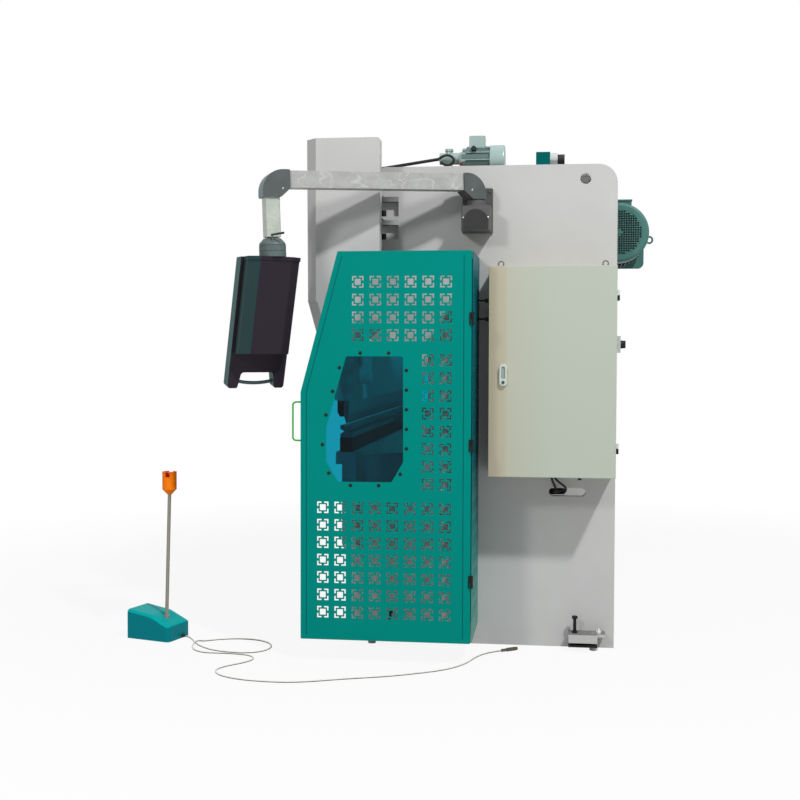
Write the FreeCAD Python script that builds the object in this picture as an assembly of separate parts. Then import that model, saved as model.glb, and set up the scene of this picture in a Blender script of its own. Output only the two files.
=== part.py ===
import FreeCAD, Part
import math
import os

# Hydraulic press brake, 3.2 m between the ends of its bed, in millimetres.
# X runs along the bed, -Y is the operator's side, +Z is up.
# The origin lies on the floor at the centre of the four anchor holes.

V = FreeCAD.Vector
X_AXIS = V(1, 0, 0)
Y_AXIS = V(0, 1, 0)
Z_AXIS = V(0, 0, 1)

# Driving sizes of the frame
bed_length = 3200.0
frame_gap = 2700.0
plate_thickness = 50.0
frame_height = 2380.0
frame_rear = 650.0
frame_top_front = -517.0
frame_low_front = -607.0
frame_corner_radius = 95.0
throat_depth = 330.0
throat_low = 960.0
throat_high = 1560.0
throat_radius = 140.0
edge_radius = 20.0
clearance = 5.0
seat_gap = 0.3
running_gap = 0.05
hinge_gap = 0.5

# Openings in the side plates
lift_hole_radius = 27.0
lift_hole_y = 495.0
lift_hole_z = 2309.0
lift_socket_depth = 60.0
lift_socket_wall = 9.0
slot_y = (326.0, 506.0)
slot_z = 769.0
slot_height = 42.0
pocket_depth = 89.0
pocket_height = 97.0
pocket_floors = (2135.0, 2020.0)
pocket_shelf_height = 24.0
pocket_corner_radius = 16.0
pocket_bolt_radius = 13.0
pocket_bolt_height = 31.0

# Bed and lower tools
tool_line_y = -657.0
bed_thickness = 70.0
bed_bottom = 60.0
bed_shoulder_z = 400.0
table_top = 970.0
table_height = 60.0
table_width = 100.0
die_holder_height = 70.0
die_holder_width = 60.0
die_height = 60.0
die_width = 60.0
die_groove_width = 24.0
die_groove_depth = 20.0

# Ram and upper tools
ram_bottom = 1219.0
ram_shoulder_z = 1500.0
ram_crown_z = 2050.0
ram_crown_half = 1000.0
ram_stroke = 200.0
ram_thickness = 70.0
end_cover_thickness = 70.0
cover_sheet = 4.0
cover_top = 2495.0
cover_kink_z = 1702.0
cover_front = -862.0
cover_kink_y = -856.0
cover_foot_y = -722.0
cover_rear = -494.0
cover_step_z = (1460.0, 1570.0)
cover_bevel = 55.0
rib_thickness = 12.0
rib_positions = (-1000.0, 0.0, 1000.0)
clamp_height = 78.0
clamp_width = 130.0
clamp_count = 18
clamp_depth = 34.0
punch_body = 26.0
punch_reach = 31.0
punch_segments = 4
punch_tip = 1.5
punch_length = 3180.0

# Cylinders
cylinder_x = 1235.0
cylinder_radius = 112.0
cylinder_port_radius = 30.0
cylinder_port_height = 110.0
cylinder_height = 560.0
rod_radius = 55.0
rod_overlap = 230.0
bracket_depth = 110.0

# Hydraulic tank and rear beam
tank_y = (40.0, 440.0)
tank_z = (1900.0, 2330.0)
tank_lid = 12.0
rear_beam_y = (560.0, 640.0)
rear_beam_z = (180.0, 420.0)

# Feet
foot_x_depth = 105.0
foot_y = (427.0, 605.0)
foot_block_z = (42.0, 76.0)
foot_wall = 16.0
foot_top_z = 83.0
anchor_y = 550.0
anchor_hole_radius = 11.0
anchor_boss_radius = 20.0
jack_y = 458.0
jack_radius = 8.0
jack_head_radius = 14.0
jack_head_height = 12.0
jack_top_z = 165.0
jack_pad_z = (22.0, 32.0)

# Side guards
guard_face_x = 1854.0
guard_rear = -31.0
guard_front = -827.0
guard_bottom = 107.0
guard_top = 1923.0
guard_kink_z = 1269.0
guard_top_front = -652.0
guard_sheet = 2.5
guard_flange = 28.0
guard_wall_sheet = 3.0
guard_wall_flange = 40.0
guard_swing = 110.0
motif_pitch = 82.3
motif_square = 28.0
motif_first_y = -147.0
motif_tops = (1783.0, 1420.0, 729.0)
motif_row_counts = (4, 8, 7)
motif_column_counts = (6, 2, 8)
wall_motif_first_x = 1772.0
wall_motif_columns = 4
window_outline = ((-613.0, 1437.0), (-346.0, 1437.0), (-344.0, 945.0), (-398.0, 852.0),
                  (-652.0, 850.0), (-709.0, 947.0), (-709.0, 1102.0))
window_lap = 26.0
window_sheet = 5.0
hinge_levels = (394.0, 1026.0, 1612.0)
hinge_length = 58.0
hinge_radius = 6.5
hinge_pin_radius = 3.0
hinge_leaf = 3.0
hinge_leaf_reach = 34.0
hinge_door_reach = 8.0
handle_levels = (1041.0, 1222.0)
handle_reach = 42.0
handle_radius = 4.0
handle_bend = 16.0

# Electrical cabinet
cabinet_width = 600.0
cabinet_height = 1000.0
cabinet_depth = 249.0
cabinet_front_y = 40.0
cabinet_bottom = 866.0
cabinet_wall = 4.0
cabinet_rim = 22.0
cabinet_door_depth = 15.0
cabinet_door_sheet = 2.0
cabinet_axis_out = 7.0
lock_size = (14.0, 35.0, 106.0)
lock_y = 110.0
lock_z = 1351.0
hook_radius = 13.0
hook_wire = 3.5
hook_inset = 50.0
switch_x = 1560.0
switch_z = 1497.0
switch_base = (66.0, 20.0, 80.0)
switch_knob_radius = 19.0
switch_knob_depth = 24.0

# Pendant arm
pivot_x = 1490.0
pivot_y = -32.0
arm_angle = 27.0
arm_droop = 2.0
arm_length = 1030.0
arm_plate_z = (2046.0, 2266.0)
arm_plate_width = 150.0
arm_plate_thickness = 12.0
arm_base_z = (2046.0, 2165.0)
arm_base_width = 140.0
arm_base_depth = 158.0
ring_radius = 44.0
ring_top = 2196.0
pivot_pin_radius = 24.0
pivot_pin_height = 40.0
beam_z = (2243.0, 2321.0)
beam_width = 74.0
elbow_width = 92.0
elbow_margin = 4.0
elbow_radius = 98.0
elbow_heels = (28.0, 47.0)
elbow_toe = 84.0
elbow_chamfer = 44.0
elbow_foot_drop = 43.0
drop_tube_width = 72.0
drop_tube_corner = 12.0
drop_tube_gap = 6.0
coupling_radius = 62.0
coupling_top = 2013.0
coupling_height = 85.0
coupling_dome = 21.0
coupling_shoulder_z = coupling_top - coupling_dome
coupling_base = coupling_top - coupling_height
drop_tube_bottom = coupling_top + drop_tube_gap
coupling_pin_radius = 26.0
coupling_pin_depth = 50.0
lever_length = 64.0
lever_radius = 4.5
lever_reach = 54.0
lever_foot_turn = -12.0
lever_turn = 50.0
lever_rise = 0.09
lever_stem_radius = 4.0
lever_stem_height = 43.0

# Pendant housing, in its own frame: x across, y to the back, z up from the level top
pendant_turn = 36.3
pendant_lean = 0.30
pendant_half = 127.5
pendant_back = 48.6
pendant_front = -87.0
pendant_chamfer = (50.0, 29.0)
pendant_body_height = 446.0
pendant_bezel_height = 643.0
pendant_bezel_depth = 57.0
pendant_bezel_half = 143.0
pendant_groove = 7.0
pendant_neck_half = 115.0
pendant_neck_drop = 12.0
pendant_lip = 3.0
pendant_lip_height = 18.0
arch_half_top = 80.0
arch_half_low = 94.0
arch_height = 78.0
grip_radius = 8.5
grip_bow = 11.0
grip_rise = 29.0
screen_inset = 30.0
screen_recess = 4.0
screen_drop = 36.0
screen_low = -250.0
keys_top = -270.0
keys_low = -420.0
key_columns = 7
key_rows = 4
key_half = 11.0

# Main motor at the rear
motor_y = 667.0
motor_z = 2060.0
motor_cowl_radius = 147.0
motor_cowl_x = 1250.0
motor_cowl_length = 130.0
motor_body_radius = 122.0
motor_length = 430.0
motor_fin_count = 20
motor_fin_height = 16.0
motor_fin_width = 5.0
motor_flange_thickness = 18.0
motor_box_size = (110.0, 96.0, 52.0)
motor_grille_radius = 112.0
eye_ring_radius = 16.0
eye_wire = 5.0

# Small motor and valve on top
top_motor_x = 1230.0
top_motor_z = 2424.5
top_motor_y = (-120.0, 94.0)
top_motor_radius = 78.0
top_pump_length = 118.0
valve_x = 1100.0
valve_y = 259.0
valve_size = (70.0, 36.0, 72.0)
valve_coil_radius = 36.0
valve_coil_length = 62.0
valve_knob_length = 36.0
conduit_end_z = 2385.0

# Back gauge
gauge_rail_x = 900.0
gauge_rail_size = (100.0, 60.0)
gauge_rail_top = 880.0
gauge_rail_rear = 160.0
gauge_beam_y = (-260.0, -180.0)
gauge_beam_height = 90.0
gauge_carriage_height = 46.0
gauge_finger_x = 520.0
gauge_finger_tip = -560.0

# Pedal unit
pedal_corner = V(1600, -1558, 0)
pedal_turn = 17.0
pedal_length = 250.0
pedal_width = 186.0
pedal_height = 147.0
pedal_low = 79.0
pedal_break = 110.0
pedal_wall = 6.0
pedal_radius = 18.0
pole_radius = 9.0
pole_top = 736.0
pole_lean = 1.6
head_radius = 36.0
head_height = 116.0
head_neck = 26.0
head_cavity = 28.0
cavity_radius = 25.0
button_radius = 19.0
button_height = 12.0
stem_radius = 8.0
stem_length = 34.0
cord_diameter = 7.0
cord_points = (
    (1483.3, -1522.2, 12.0), (1494.5, -1486, 11.0), (1552, -1445, 6.0), (1625, -1404, 3.8),
    (1687, -1348, 3.8), (1735, -1281, 3.8), (1757, -1201, 3.8), (1764, -1118, 3.8),
    (1724, -1047, 3.8), (1646, -1019, 3.8), (1567, -1041, 3.8), (1506, -1097, 3.8),
    (1480, -1175, 3.8), (1482, -1258, 3.8), (1514, -1335, 3.8), (1556, -1390, 3.8),
    (1598, -1405, 17.0), (1646, -1413, 17.0), (1696, -1407, 3.8), (1745, -1378, 3.8),
    (1784, -1322, 3.8), (1781, -1246, 3.8), (1785, -1163, 3.8), (1805, -1084, 3.8),
    (1873, -1046, 3.8), (1947, -1083, 3.8), (2006, -1141, 3.8), (2078, -1179, 3.8),
    (2155, -1155, 3.8), (2207, -1090, 3.8), (2237, -1012, 3.8), (2250, -930, 3.8),
    (2254, -847, 3.8), (2243, -765, 3.8), (2215, -686, 3.8), (2180, -610, 3.8),
    (2148, -533, 3.8), (2120, -455, 3.8), (2089, -378, 3.8), (2051, -304, 3.8),
    (2008, -232, 3.8), (1962, -162, 3.8), (1904, -103, 3.8), (1834, -59, 3.8),
    (1755, -31, 3.8), (1676, -4, 6.0), (1610, 45, 9.3), (1566, 104, 9.3))
cord_bend_share = 0.45
connector_radius = 9.0
connector_length = 92.0


def span(x, y, z):
    """A block given by its low and high value on each axis."""
    return Part.makeBox(x[1] - x[0], y[1] - y[0], z[1] - z[0], V(x[0], y[0], z[0]))


def rod(radius, length, start, axis=Z_AXIS):
    return Part.makeCylinder(radius, length, start, axis)


def joined(shapes):
    """The shapes fused to one clean solid."""
    result = shapes[0]
    if len(shapes) > 1:
        result = result.multiFuse(shapes[1:])
    return result.removeSplitter()


def mirrored(shape):
    return shape.mirror(V(0, 0, 0), X_AXIS)


def both_sides(*shapes):
    """The right-hand shapes and their mirror images as one compound."""
    return Part.makeCompound(list(shapes) + [mirrored(shape) for shape in shapes])


def turned(shape, angle, centre=V(0, 0, 0), axis=Z_AXIS):
    copy = shape.copy()
    copy.rotate(centre, axis, angle)
    return copy


def rounded_wire(points, radii):
    """A closed wire through the points, with tangent arcs where a radius is given."""
    count = len(points)
    starts = []
    ends = []
    middles = []
    for index in range(count):
        before = points[index - 1]
        here = points[index]
        after = points[(index + 1) % count]
        radius = radii[index]
        back = (before - here).normalize()
        ahead = (after - here).normalize()
        if radius <= 0:
            starts.append(here)
            ends.append(here)
            middles.append(None)
            continue
        half = math.acos(max(-1, min(1, back.dot(ahead)))) / 2
        reach = radius / math.tan(half)
        centre = here + (back + ahead).normalize() * (radius / math.sin(half))
        starts.append(here + back * reach)
        ends.append(here + ahead * reach)
        middles.append(centre + (here - centre).normalize() * radius)
    edges = []
    for index in range(count):
        if middles[index] is not None:
            arc = Part.Arc(starts[index], middles[index], ends[index])
            edges.append(arc.toShape())
        following = (index + 1) % count
        if (starts[following] - ends[index]).Length > 1e-6:
            edges.append(Part.LineSegment(ends[index], starts[following]).toShape())
    return Part.Wire(edges)


def plate_x(outline, x_low, x_high, radii=None):
    """An outline in Y and Z, extruded along X."""
    points = [V(x_low, y, z) for y, z in outline]
    wire = rounded_wire(points, radii or [0] * len(points))
    return Part.Face(wire).extrude(V(x_high - x_low, 0, 0))


def plate_y(outline, y_low, y_high, radii=None):
    """An outline in X and Z, extruded along Y."""
    points = [V(x, y_low, z) for x, z in outline]
    wire = rounded_wire(points, radii or [0] * len(points))
    return Part.Face(wire).extrude(V(0, y_high - y_low, 0))


def plate_z(outline, z_low, z_high, radii=None):
    """An outline in X and Y, extruded along Z."""
    points = [V(x, y, z_low) for x, y in outline]
    wire = rounded_wire(points, radii or [0] * len(points))
    return Part.Face(wire).extrude(V(0, 0, z_high - z_low))


frame_out = frame_gap / 2 + plate_thickness
frame_in = frame_gap / 2


def side_frame():
    """The right C-frame plate with its holes and the pockets at its front edge."""
    throat_back = frame_low_front + throat_depth
    outline = [(frame_rear, 0), (frame_rear, frame_height), (frame_top_front, frame_height),
               (frame_top_front, throat_high), (throat_back, throat_high),
               (throat_back, throat_low), (frame_low_front, throat_low - edge_radius),
               (frame_low_front, 0)]
    radii = [0, frame_corner_radius, edge_radius, edge_radius, throat_radius, throat_radius,
             0, 0]
    plate = plate_x(outline, frame_in, frame_out, radii)
    socket_start = V(frame_in - lift_socket_depth, lift_hole_y, lift_hole_z)
    plate = joined([plate, rod(lift_hole_radius + lift_socket_wall, lift_socket_depth,
                               socket_start, X_AXIS)])
    plate = plate.cut(rod(lift_hole_radius, plate_thickness + lift_socket_depth,
                          socket_start + X_AXIS * lift_socket_wall, X_AXIS))
    slot_radius = slot_height / 2
    slot = plate_x([(slot_y[0], slot_z - slot_radius), (slot_y[1], slot_z - slot_radius),
                    (slot_y[1], slot_z + slot_radius), (slot_y[0], slot_z + slot_radius)],
                   frame_in, frame_out, [slot_radius - 0.01] * 4)
    plate = plate.cut(slot)
    for floor in pocket_floors:
        plate = plate.cut(pocket_cut(floor))
    return plate


def pocket_cut(floor):
    """One pocket for the guide bolts, open at the front with a rounded upper lip."""
    mouth = frame_top_front
    back = mouth + pocket_depth
    top = floor + pocket_height
    outline = [(mouth - pocket_corner_radius, floor), (back, floor), (back, top),
               (mouth + pocket_corner_radius, top), (mouth, top + pocket_corner_radius),
               (mouth - pocket_corner_radius, top + pocket_corner_radius)]
    radii = [0, 0, 0, 0, 0, 0]
    return plate_x(outline, frame_in, frame_out, radii)


def guide_shelves():
    """The bright bars at the top of the pockets and the bolts below them."""
    shapes = []
    for floor in pocket_floors:
        top = floor + pocket_height
        mouth = frame_top_front
        shapes.append(span((frame_in, frame_out), (mouth, mouth + pocket_depth),
                           (top - pocket_shelf_height, top)))
        shapes.append(rod(pocket_bolt_radius, pocket_bolt_height,
                          V(frame_out - pocket_bolt_radius - 2, mouth + pocket_bolt_radius, floor)))
    return Part.makeCompound(shapes)


def guide_rail():
    """The ram guide bolted to the front edge of the plate."""
    front = frame_top_front - 46
    return span((frame_in, frame_out), (front, frame_top_front), (throat_high + 40, 2330))


def slide_block():
    """The block on the ram that runs along the guide."""
    rear = frame_top_front - 46 - clearance
    front = tool_line_y + ram_thickness / 2
    return span((frame_in, frame_out), (front, rear), (1300, 1780))


def bed_beam():
    half = bed_length / 2
    low = half - 200
    outline = [(-low, bed_bottom), (low, bed_bottom), (low, bed_shoulder_z),
               (half, bed_shoulder_z + 120), (half, table_top - table_height),
               (-half, table_top - table_height), (-half, bed_shoulder_z + 120),
               (-low, bed_shoulder_z)]
    rear = frame_low_front
    return plate_y(outline, rear - bed_thickness, rear)


def bed_table():
    half = bed_length / 2
    rear = frame_low_front
    return span((-half, half), (rear - table_width, rear), (table_top - table_height, table_top))


def die_holder():
    half = bed_length / 2
    base = table_top
    wide = die_holder_width / 2
    lip = 12.0
    outline = [(tool_line_y - wide, base), (tool_line_y + wide, base),
               (tool_line_y + wide, base + die_holder_height),
               (tool_line_y + wide - lip, base + die_holder_height),
               (tool_line_y - wide + lip, base + die_holder_height),
               (tool_line_y - wide, base + die_holder_height)]
    return plate_x(outline, -half, half)


def lower_die():
    """A four-sided die block with a V groove in each face."""
    half = punch_length / 2
    base = table_top + die_holder_height
    centre_z = base + die_height / 2
    wide = die_width / 2
    block = span((-half, half), (tool_line_y - wide, tool_line_y + wide), (base, base + die_height))
    groove = plate_x([(tool_line_y - die_groove_width / 2, base + die_height),
                      (tool_line_y, base + die_height - die_groove_depth),
                      (tool_line_y + die_groove_width / 2, base + die_height)], -half, half)
    for turn in (0, 90, 270):
        block = block.cut(turned(groove, turn, V(0, tool_line_y, centre_z), X_AXIS))
    return block


def ram_beam():
    half = bed_length / 2 - end_cover_thickness
    outline = [(-half, ram_bottom), (half, ram_bottom), (half, ram_shoulder_z),
               (ram_crown_half + 60, ram_shoulder_z), (ram_crown_half - 40, ram_crown_z),
               (40 - ram_crown_half, ram_crown_z), (-ram_crown_half - 60, ram_shoulder_z),
               (-half, ram_shoulder_z)]
    front = tool_line_y - ram_thickness / 2
    return plate_y(outline, front, front + ram_thickness)


def cover_outline(inset=0.0):
    """Front of the ram cover in Y and Z, moved inwards by the sheet's thickness."""
    return [(cover_front + inset, cover_top - inset), (cover_kink_y + inset, cover_kink_z),
            (cover_foot_y + inset, ram_bottom)]


def ram_end_cover():
    """The right end cover with its bevelled front corner."""
    half = bed_length / 2
    ram_rear = tool_line_y + ram_thickness / 2
    outline = cover_outline() + [(ram_rear, ram_bottom), (ram_rear, cover_step_z[0]),
                                 (cover_rear, cover_step_z[1]), (cover_rear, cover_top)]
    radii = [0, 0, 0, 0, 0, 0, 14]
    plate = plate_x(outline, half - end_cover_thickness, half, radii)
    bevel = plate_z([(half - cover_bevel, cover_front - 1), (half + 1, cover_front - 1),
                     (half + 1, cover_front + cover_bevel)], ram_bottom, cover_top)
    lean = math.degrees(math.atan2(cover_foot_y - cover_kink_y, cover_kink_z - ram_bottom))
    corner = plate_z([(half - cover_bevel, cover_kink_y - 1), (half + 1, cover_kink_y - 1),
                      (half + 1, cover_kink_y + cover_bevel)],
                     ram_bottom - 200, cover_kink_z + 60)
    plate = plate.cut(bevel.common(span((half - 100, half + 10), (cover_front - 10, 0),
                                        (cover_kink_z, cover_top))))
    corner = turned(corner, lean, V(0, cover_kink_y, cover_kink_z), X_AXIS)
    return plate.cut(corner.common(span((half - 100, half + 10), (cover_front - 10, 0),
                                        (ram_bottom, cover_kink_z))))


def ram_front_cover():
    """The folded sheet in front of the ram, with its lid."""
    half = bed_length / 2 - end_cover_thickness
    ram_rear = tool_line_y + ram_thickness / 2
    outer = cover_outline()
    inner = list(reversed(cover_outline(cover_sheet)))
    outline = [(ram_rear, cover_top)] + outer + inner + [(ram_rear, cover_top - cover_sheet)]
    return plate_x(outline, -half, half)


def ram_ribs():
    """Ribs that tie the front sheet to the ram beam."""
    front = tool_line_y - ram_thickness / 2
    ribs = []
    for x in rib_positions:
        outline = [(front, ram_bottom + 60), (front, ram_crown_z - 100)]
        kink = cover_kink_y + cover_sheet
        foot = cover_foot_y + cover_sheet
        at_foot = foot + (kink - foot) * 60 / (cover_kink_z - ram_bottom)
        at_top = kink + (cover_front - cover_kink_y) * (ram_crown_z - 100 - cover_kink_z) \
            / (cover_top - cover_kink_z)
        outline += [(at_top, ram_crown_z - 100), (kink, cover_kink_z), (at_foot, ram_bottom + 60)]
        ribs.append(plate_x(outline, x - rib_thickness / 2, x + rib_thickness / 2))
    return Part.makeCompound(ribs)


def cylinder_shape():
    """Right hydraulic cylinder: barrel, head, foot flange and rear pad, bored for its rod."""
    base = ram_shoulder_z + ram_stroke + 30
    top = base + cylinder_height
    centre = V(cylinder_x, tool_line_y, base)
    barrel = rod(cylinder_radius, cylinder_height, centre)
    gland = rod(cylinder_radius - 20, 26, centre - Z_AXIS * 20)
    head = rod(cylinder_radius - 26, 50, V(cylinder_x, tool_line_y, top))
    port = rod(cylinder_port_radius, cylinder_port_height, V(cylinder_x, tool_line_y, top))
    bracket_front = frame_top_front - 26
    pad = span((cylinder_x - 90, cylinder_x + 90), (tool_line_y, bracket_front),
               (base + 60, top - 60))
    body = joined([barrel, gland, head, port, pad])
    bore = rod(rod_radius + running_gap, cylinder_height - 60, centre - Z_AXIS * 30)
    return body.cut(bore)


def cylinder_rod():
    base = ram_shoulder_z + ram_stroke + 30
    return rod(rod_radius, base + rod_overlap - ram_shoulder_z,
               V(cylinder_x, tool_line_y, ram_shoulder_z))


def cylinder_bracket():
    """The block that carries a cylinder from the inside of the plate."""
    base = ram_shoulder_z + ram_stroke + 30
    front = frame_top_front - 26
    return span((cylinder_x - 110, frame_in), (front, front + bracket_depth + 60),
                (base + 60, base + cylinder_height - 60))


def punch_clamps():
    """A row of wedge clamps that hold the punches."""
    pitch = bed_length / clamp_count
    low = ram_bottom - clamp_height
    clamps = []
    for index in range(clamp_count):
        middle = -bed_length / 2 + pitch * (index + 0.5)
        front = tool_line_y - punch_body / 2
        outline = [(front, low + 8), (front, ram_bottom), (front - clamp_depth, ram_bottom),
                   (front - clamp_depth, low + 22), (front - clamp_depth + 12, low)]
        outline.append((front - 6, low))
        clamps.append(plate_x(outline, middle - clamp_width / 2, middle + clamp_width / 2))
    return Part.makeCompound(clamps)


def punches():
    """Straight punches in equal lengths, each with its tang against the ram."""
    pitch = punch_length / punch_segments
    low = ram_bottom - clamp_height - punch_reach
    body_low = low + 40
    half = punch_body / 2
    row = []
    for index in range(punch_segments):
        start = -punch_length / 2 + pitch * index
        outline = [(tool_line_y - punch_tip, low), (tool_line_y + punch_tip, low),
                   (tool_line_y + half, body_low), (tool_line_y + half, ram_bottom),
                   (tool_line_y - half, ram_bottom), (tool_line_y - half, body_low)]
        row.append(plate_x(outline, start + seat_gap, start + pitch - seat_gap))
    return Part.makeCompound(row)


def oil_tank():
    body = span((-frame_in, frame_in), tank_y, tank_z)
    rim = span((-frame_in, frame_in), (tank_y[0] - 20, tank_y[1] + 20),
               (tank_z[1], tank_z[1] + tank_lid))
    return joined([body, rim])


def rear_beam():
    """Hollow box beam that ties the plates at the rear."""
    wall = 12.0
    outer = span((-frame_in, frame_in), rear_beam_y, rear_beam_z)
    inner = span((-frame_in, frame_in), (rear_beam_y[0] + wall, rear_beam_y[1] - wall),
                 (rear_beam_z[0] + wall, rear_beam_z[1] - wall))
    return outer.cut(inner)


def foot_bracket():
    """Rear right levelling bracket with its anchor boss."""
    low, high = foot_y
    near = frame_out + foot_x_depth
    middle_x = frame_out + foot_x_depth / 2
    block = span((frame_out, near), (low, low + 140), (foot_block_z[0], foot_top_z))
    shelf = span((frame_out, frame_out + foot_x_depth * 0.75), (low, high),
                 (foot_top_z - foot_wall, foot_top_z))
    boss = rod(anchor_boss_radius, foot_top_z, V(middle_x, anchor_y, 0))
    body = joined([block, shelf, boss])
    body = body.cut(rod(anchor_hole_radius, foot_top_z, V(middle_x, anchor_y, 0)))
    return body.cut(rod(jack_radius + 0.5, foot_top_z, V(middle_x, jack_y, 0)))


def jack_screw():
    """Levelling screw with its head, lock nut and pad."""
    middle = V(frame_out + foot_x_depth / 2, jack_y, 0)
    low = jack_pad_z[0]
    screw = rod(jack_radius, jack_top_z - low, middle + Z_AXIS * low)
    head = rod(jack_head_radius, jack_head_height, middle + Z_AXIS * (jack_top_z - jack_head_height))
    nut = rod(jack_head_radius, 8, middle + Z_AXIS * foot_top_z)
    near = frame_out + foot_x_depth
    pad = span((frame_out + 5, near), (foot_y[0], foot_y[0] + 140), jack_pad_z)
    pad = pad.cut(rod(anchor_boss_radius + 1, 200, V(middle.x, anchor_y, 0)))
    return joined([screw, head, nut, pad])


def four_corners(shape):
    """The shape at all four feet, from the one at the rear right."""
    front = shape.mirror(V(0, 0, 0), Y_AXIS)
    return [shape, mirrored(shape), front, mirrored(front)]


guard_outline = [(guard_rear, guard_bottom), (guard_rear, guard_top),
                 (guard_top_front, guard_top), (guard_front, guard_kink_z),
                 (guard_front, guard_bottom)]


def motif_places():
    """Centres in Y and Z of the square holes in the guard door."""
    places = []
    for top, rows, columns in zip(motif_tops, motif_row_counts, motif_column_counts):
        for row in range(rows):
            for column in range(columns):
                places.append((motif_first_y - column * motif_pitch, top - row * motif_pitch))
    return places


def square_cut_x(y, z, x_low, x_high):
    half = motif_square / 2
    return span((x_low, x_high), (y - half, y + half), (z - half, z + half))


def face_offset(outline, inset, x):
    wire = Part.makePolygon([V(x, y, z) for y, z in outline + outline[:1]])
    face = Part.Face(wire)
    if inset == 0:
        return face
    return face.makeOffset2D(-inset)


def guard_door():
    """Right guard door: a folded pan with a window and a pattern of square holes."""
    inner_x = guard_face_x - guard_flange
    outer = face_offset(guard_outline, 0, inner_x).extrude(V(guard_flange, 0, 0))
    hollow = face_offset(guard_outline, guard_sheet, inner_x)
    hollow = hollow.extrude(V(guard_flange - guard_sheet, 0, 0))
    pan = outer.cut(hollow)
    pane_hole = plate_x(list(window_outline), inner_x, guard_face_x + 1)
    cuts = [pane_hole]
    for y, z in motif_places():
        cuts.append(square_cut_x(y, z, guard_face_x - guard_sheet - 1, guard_face_x + 1))
    return pan.cut(Part.makeCompound(cuts))


def guard_window():
    """Tinted sheet fixed behind the opening of the door."""
    back = guard_face_x - guard_sheet - window_sheet
    face = face_offset(list(window_outline), -window_lap, back)
    return face.extrude(V(window_sheet, 0, 0))


hinge_axis_x = guard_face_x + 4
hinge_axis_y = guard_rear + guard_wall_sheet + clearance + hinge_gap


def guard_wall():
    """Fixed rear wall of the guard, folded to a flange on the side plate."""
    front = hinge_axis_y - guard_wall_sheet
    outer_x = hinge_axis_x - 12
    sheet = span((frame_out, outer_x), (front, hinge_axis_y), (guard_bottom, guard_top))
    flange = span((frame_out, frame_out + guard_wall_sheet),
                  (front - guard_wall_flange, hinge_axis_y), (guard_bottom, guard_top))
    wall = joined([sheet, flange])
    half = motif_square / 2
    cuts = []
    for top, rows in zip(motif_tops, motif_row_counts):
        for row in range(rows):
            for column in range(wall_motif_columns):
                x = wall_motif_first_x - column * motif_pitch
                z = top - row * motif_pitch
                cuts.append(span((x - half, x + half), (front - 1, hinge_axis_y + 1),
                                 (z - half, z + half)))
    return wall.cut(Part.makeCompound(cuts))


def guard_hinge_halves():
    """Lower halves with pins, for the wall, and upper halves with bores, for the door."""
    lower = []
    upper = []
    half = hinge_length / 2
    for level in hinge_levels:
        base = V(hinge_axis_x, hinge_axis_y, level - half)
        knuckle = rod(hinge_radius, half - 0.5, base)
        pin = rod(hinge_pin_radius, hinge_length - 10, base)
        leaf = span((hinge_axis_x - hinge_leaf_reach, hinge_axis_x),
                    (hinge_axis_y, hinge_axis_y + hinge_leaf), (level - half, level - 0.5))
        lower.append(joined([knuckle, pin, leaf]))
        sleeve = rod(hinge_radius, half - 0.5, base + Z_AXIS * (half + 0.5))
        leaf_x = (guard_face_x, guard_face_x + hinge_leaf)
        leaf = span(leaf_x, (guard_rear - hinge_door_reach, guard_rear - 2),
                    (level - half, level + half))
        tab = span(leaf_x, (guard_rear - 2, hinge_axis_y), (level + 0.5, level + half))
        whole = joined([sleeve, leaf, tab])
        upper.append(whole.cut(rod(hinge_pin_radius + running_gap, hinge_length, base)))
    return Part.makeCompound(lower), Part.makeCompound(upper)


def guard_handle():
    """Bent tube handle on the front edge of the door."""
    low, high = handle_levels
    x = guard_face_x - 14
    root_y = guard_front
    out_y = guard_front - handle_reach
    bend = handle_bend
    corner_low = V(x, out_y, low)
    corner_high = V(x, out_y, high)
    turn = bend * (1 - math.sqrt(0.5))
    edges = [
        Part.LineSegment(V(x, root_y, low), V(x, out_y + bend, low)).toShape(),
        Part.Arc(V(x, out_y + bend, low), corner_low + V(0, turn, turn),
                 V(x, out_y, low + bend)).toShape(),
        Part.LineSegment(V(x, out_y, low + bend), V(x, out_y, high - bend)).toShape(),
        Part.Arc(V(x, out_y, high - bend), corner_high + V(0, turn, -turn),
                 V(x, out_y + bend, high)).toShape(),
        Part.LineSegment(V(x, out_y + bend, high), V(x, root_y, high)).toShape()]
    return swept_tube(edges, handle_radius, V(x, root_y, low), V(0, -1, 0))


def swept_tube(edges, radius, start, direction):
    """A round solid swept along straight and arc edges."""
    section = Part.Wire([Part.Circle(start, direction, radius).toShape()])
    return Part.Wire(edges).makePipeShell([section], True, True)


def cabinet_box():
    """Open-fronted sheet box with an inward rim."""
    x = (frame_out, frame_out + cabinet_depth)
    y = (cabinet_front_y, cabinet_front_y + cabinet_width)
    z = (cabinet_bottom, cabinet_bottom + cabinet_height)
    wall = cabinet_wall
    outer = span(x, y, z)
    hollow = span((x[0] + wall, x[1] - wall), (y[0] + wall, y[1] - wall),
                  (z[0] + wall, z[1] - wall))
    mouth = span((x[1] - wall - 1, x[1] + 1), (y[0] + cabinet_rim, y[1] - cabinet_rim),
                 (z[0] + cabinet_rim, z[1] - cabinet_rim))
    return outer.cut(hollow).cut(mouth)


cabinet_door_back = frame_out + cabinet_depth + clearance
cabinet_face_x = cabinet_door_back + cabinet_door_depth


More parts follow.
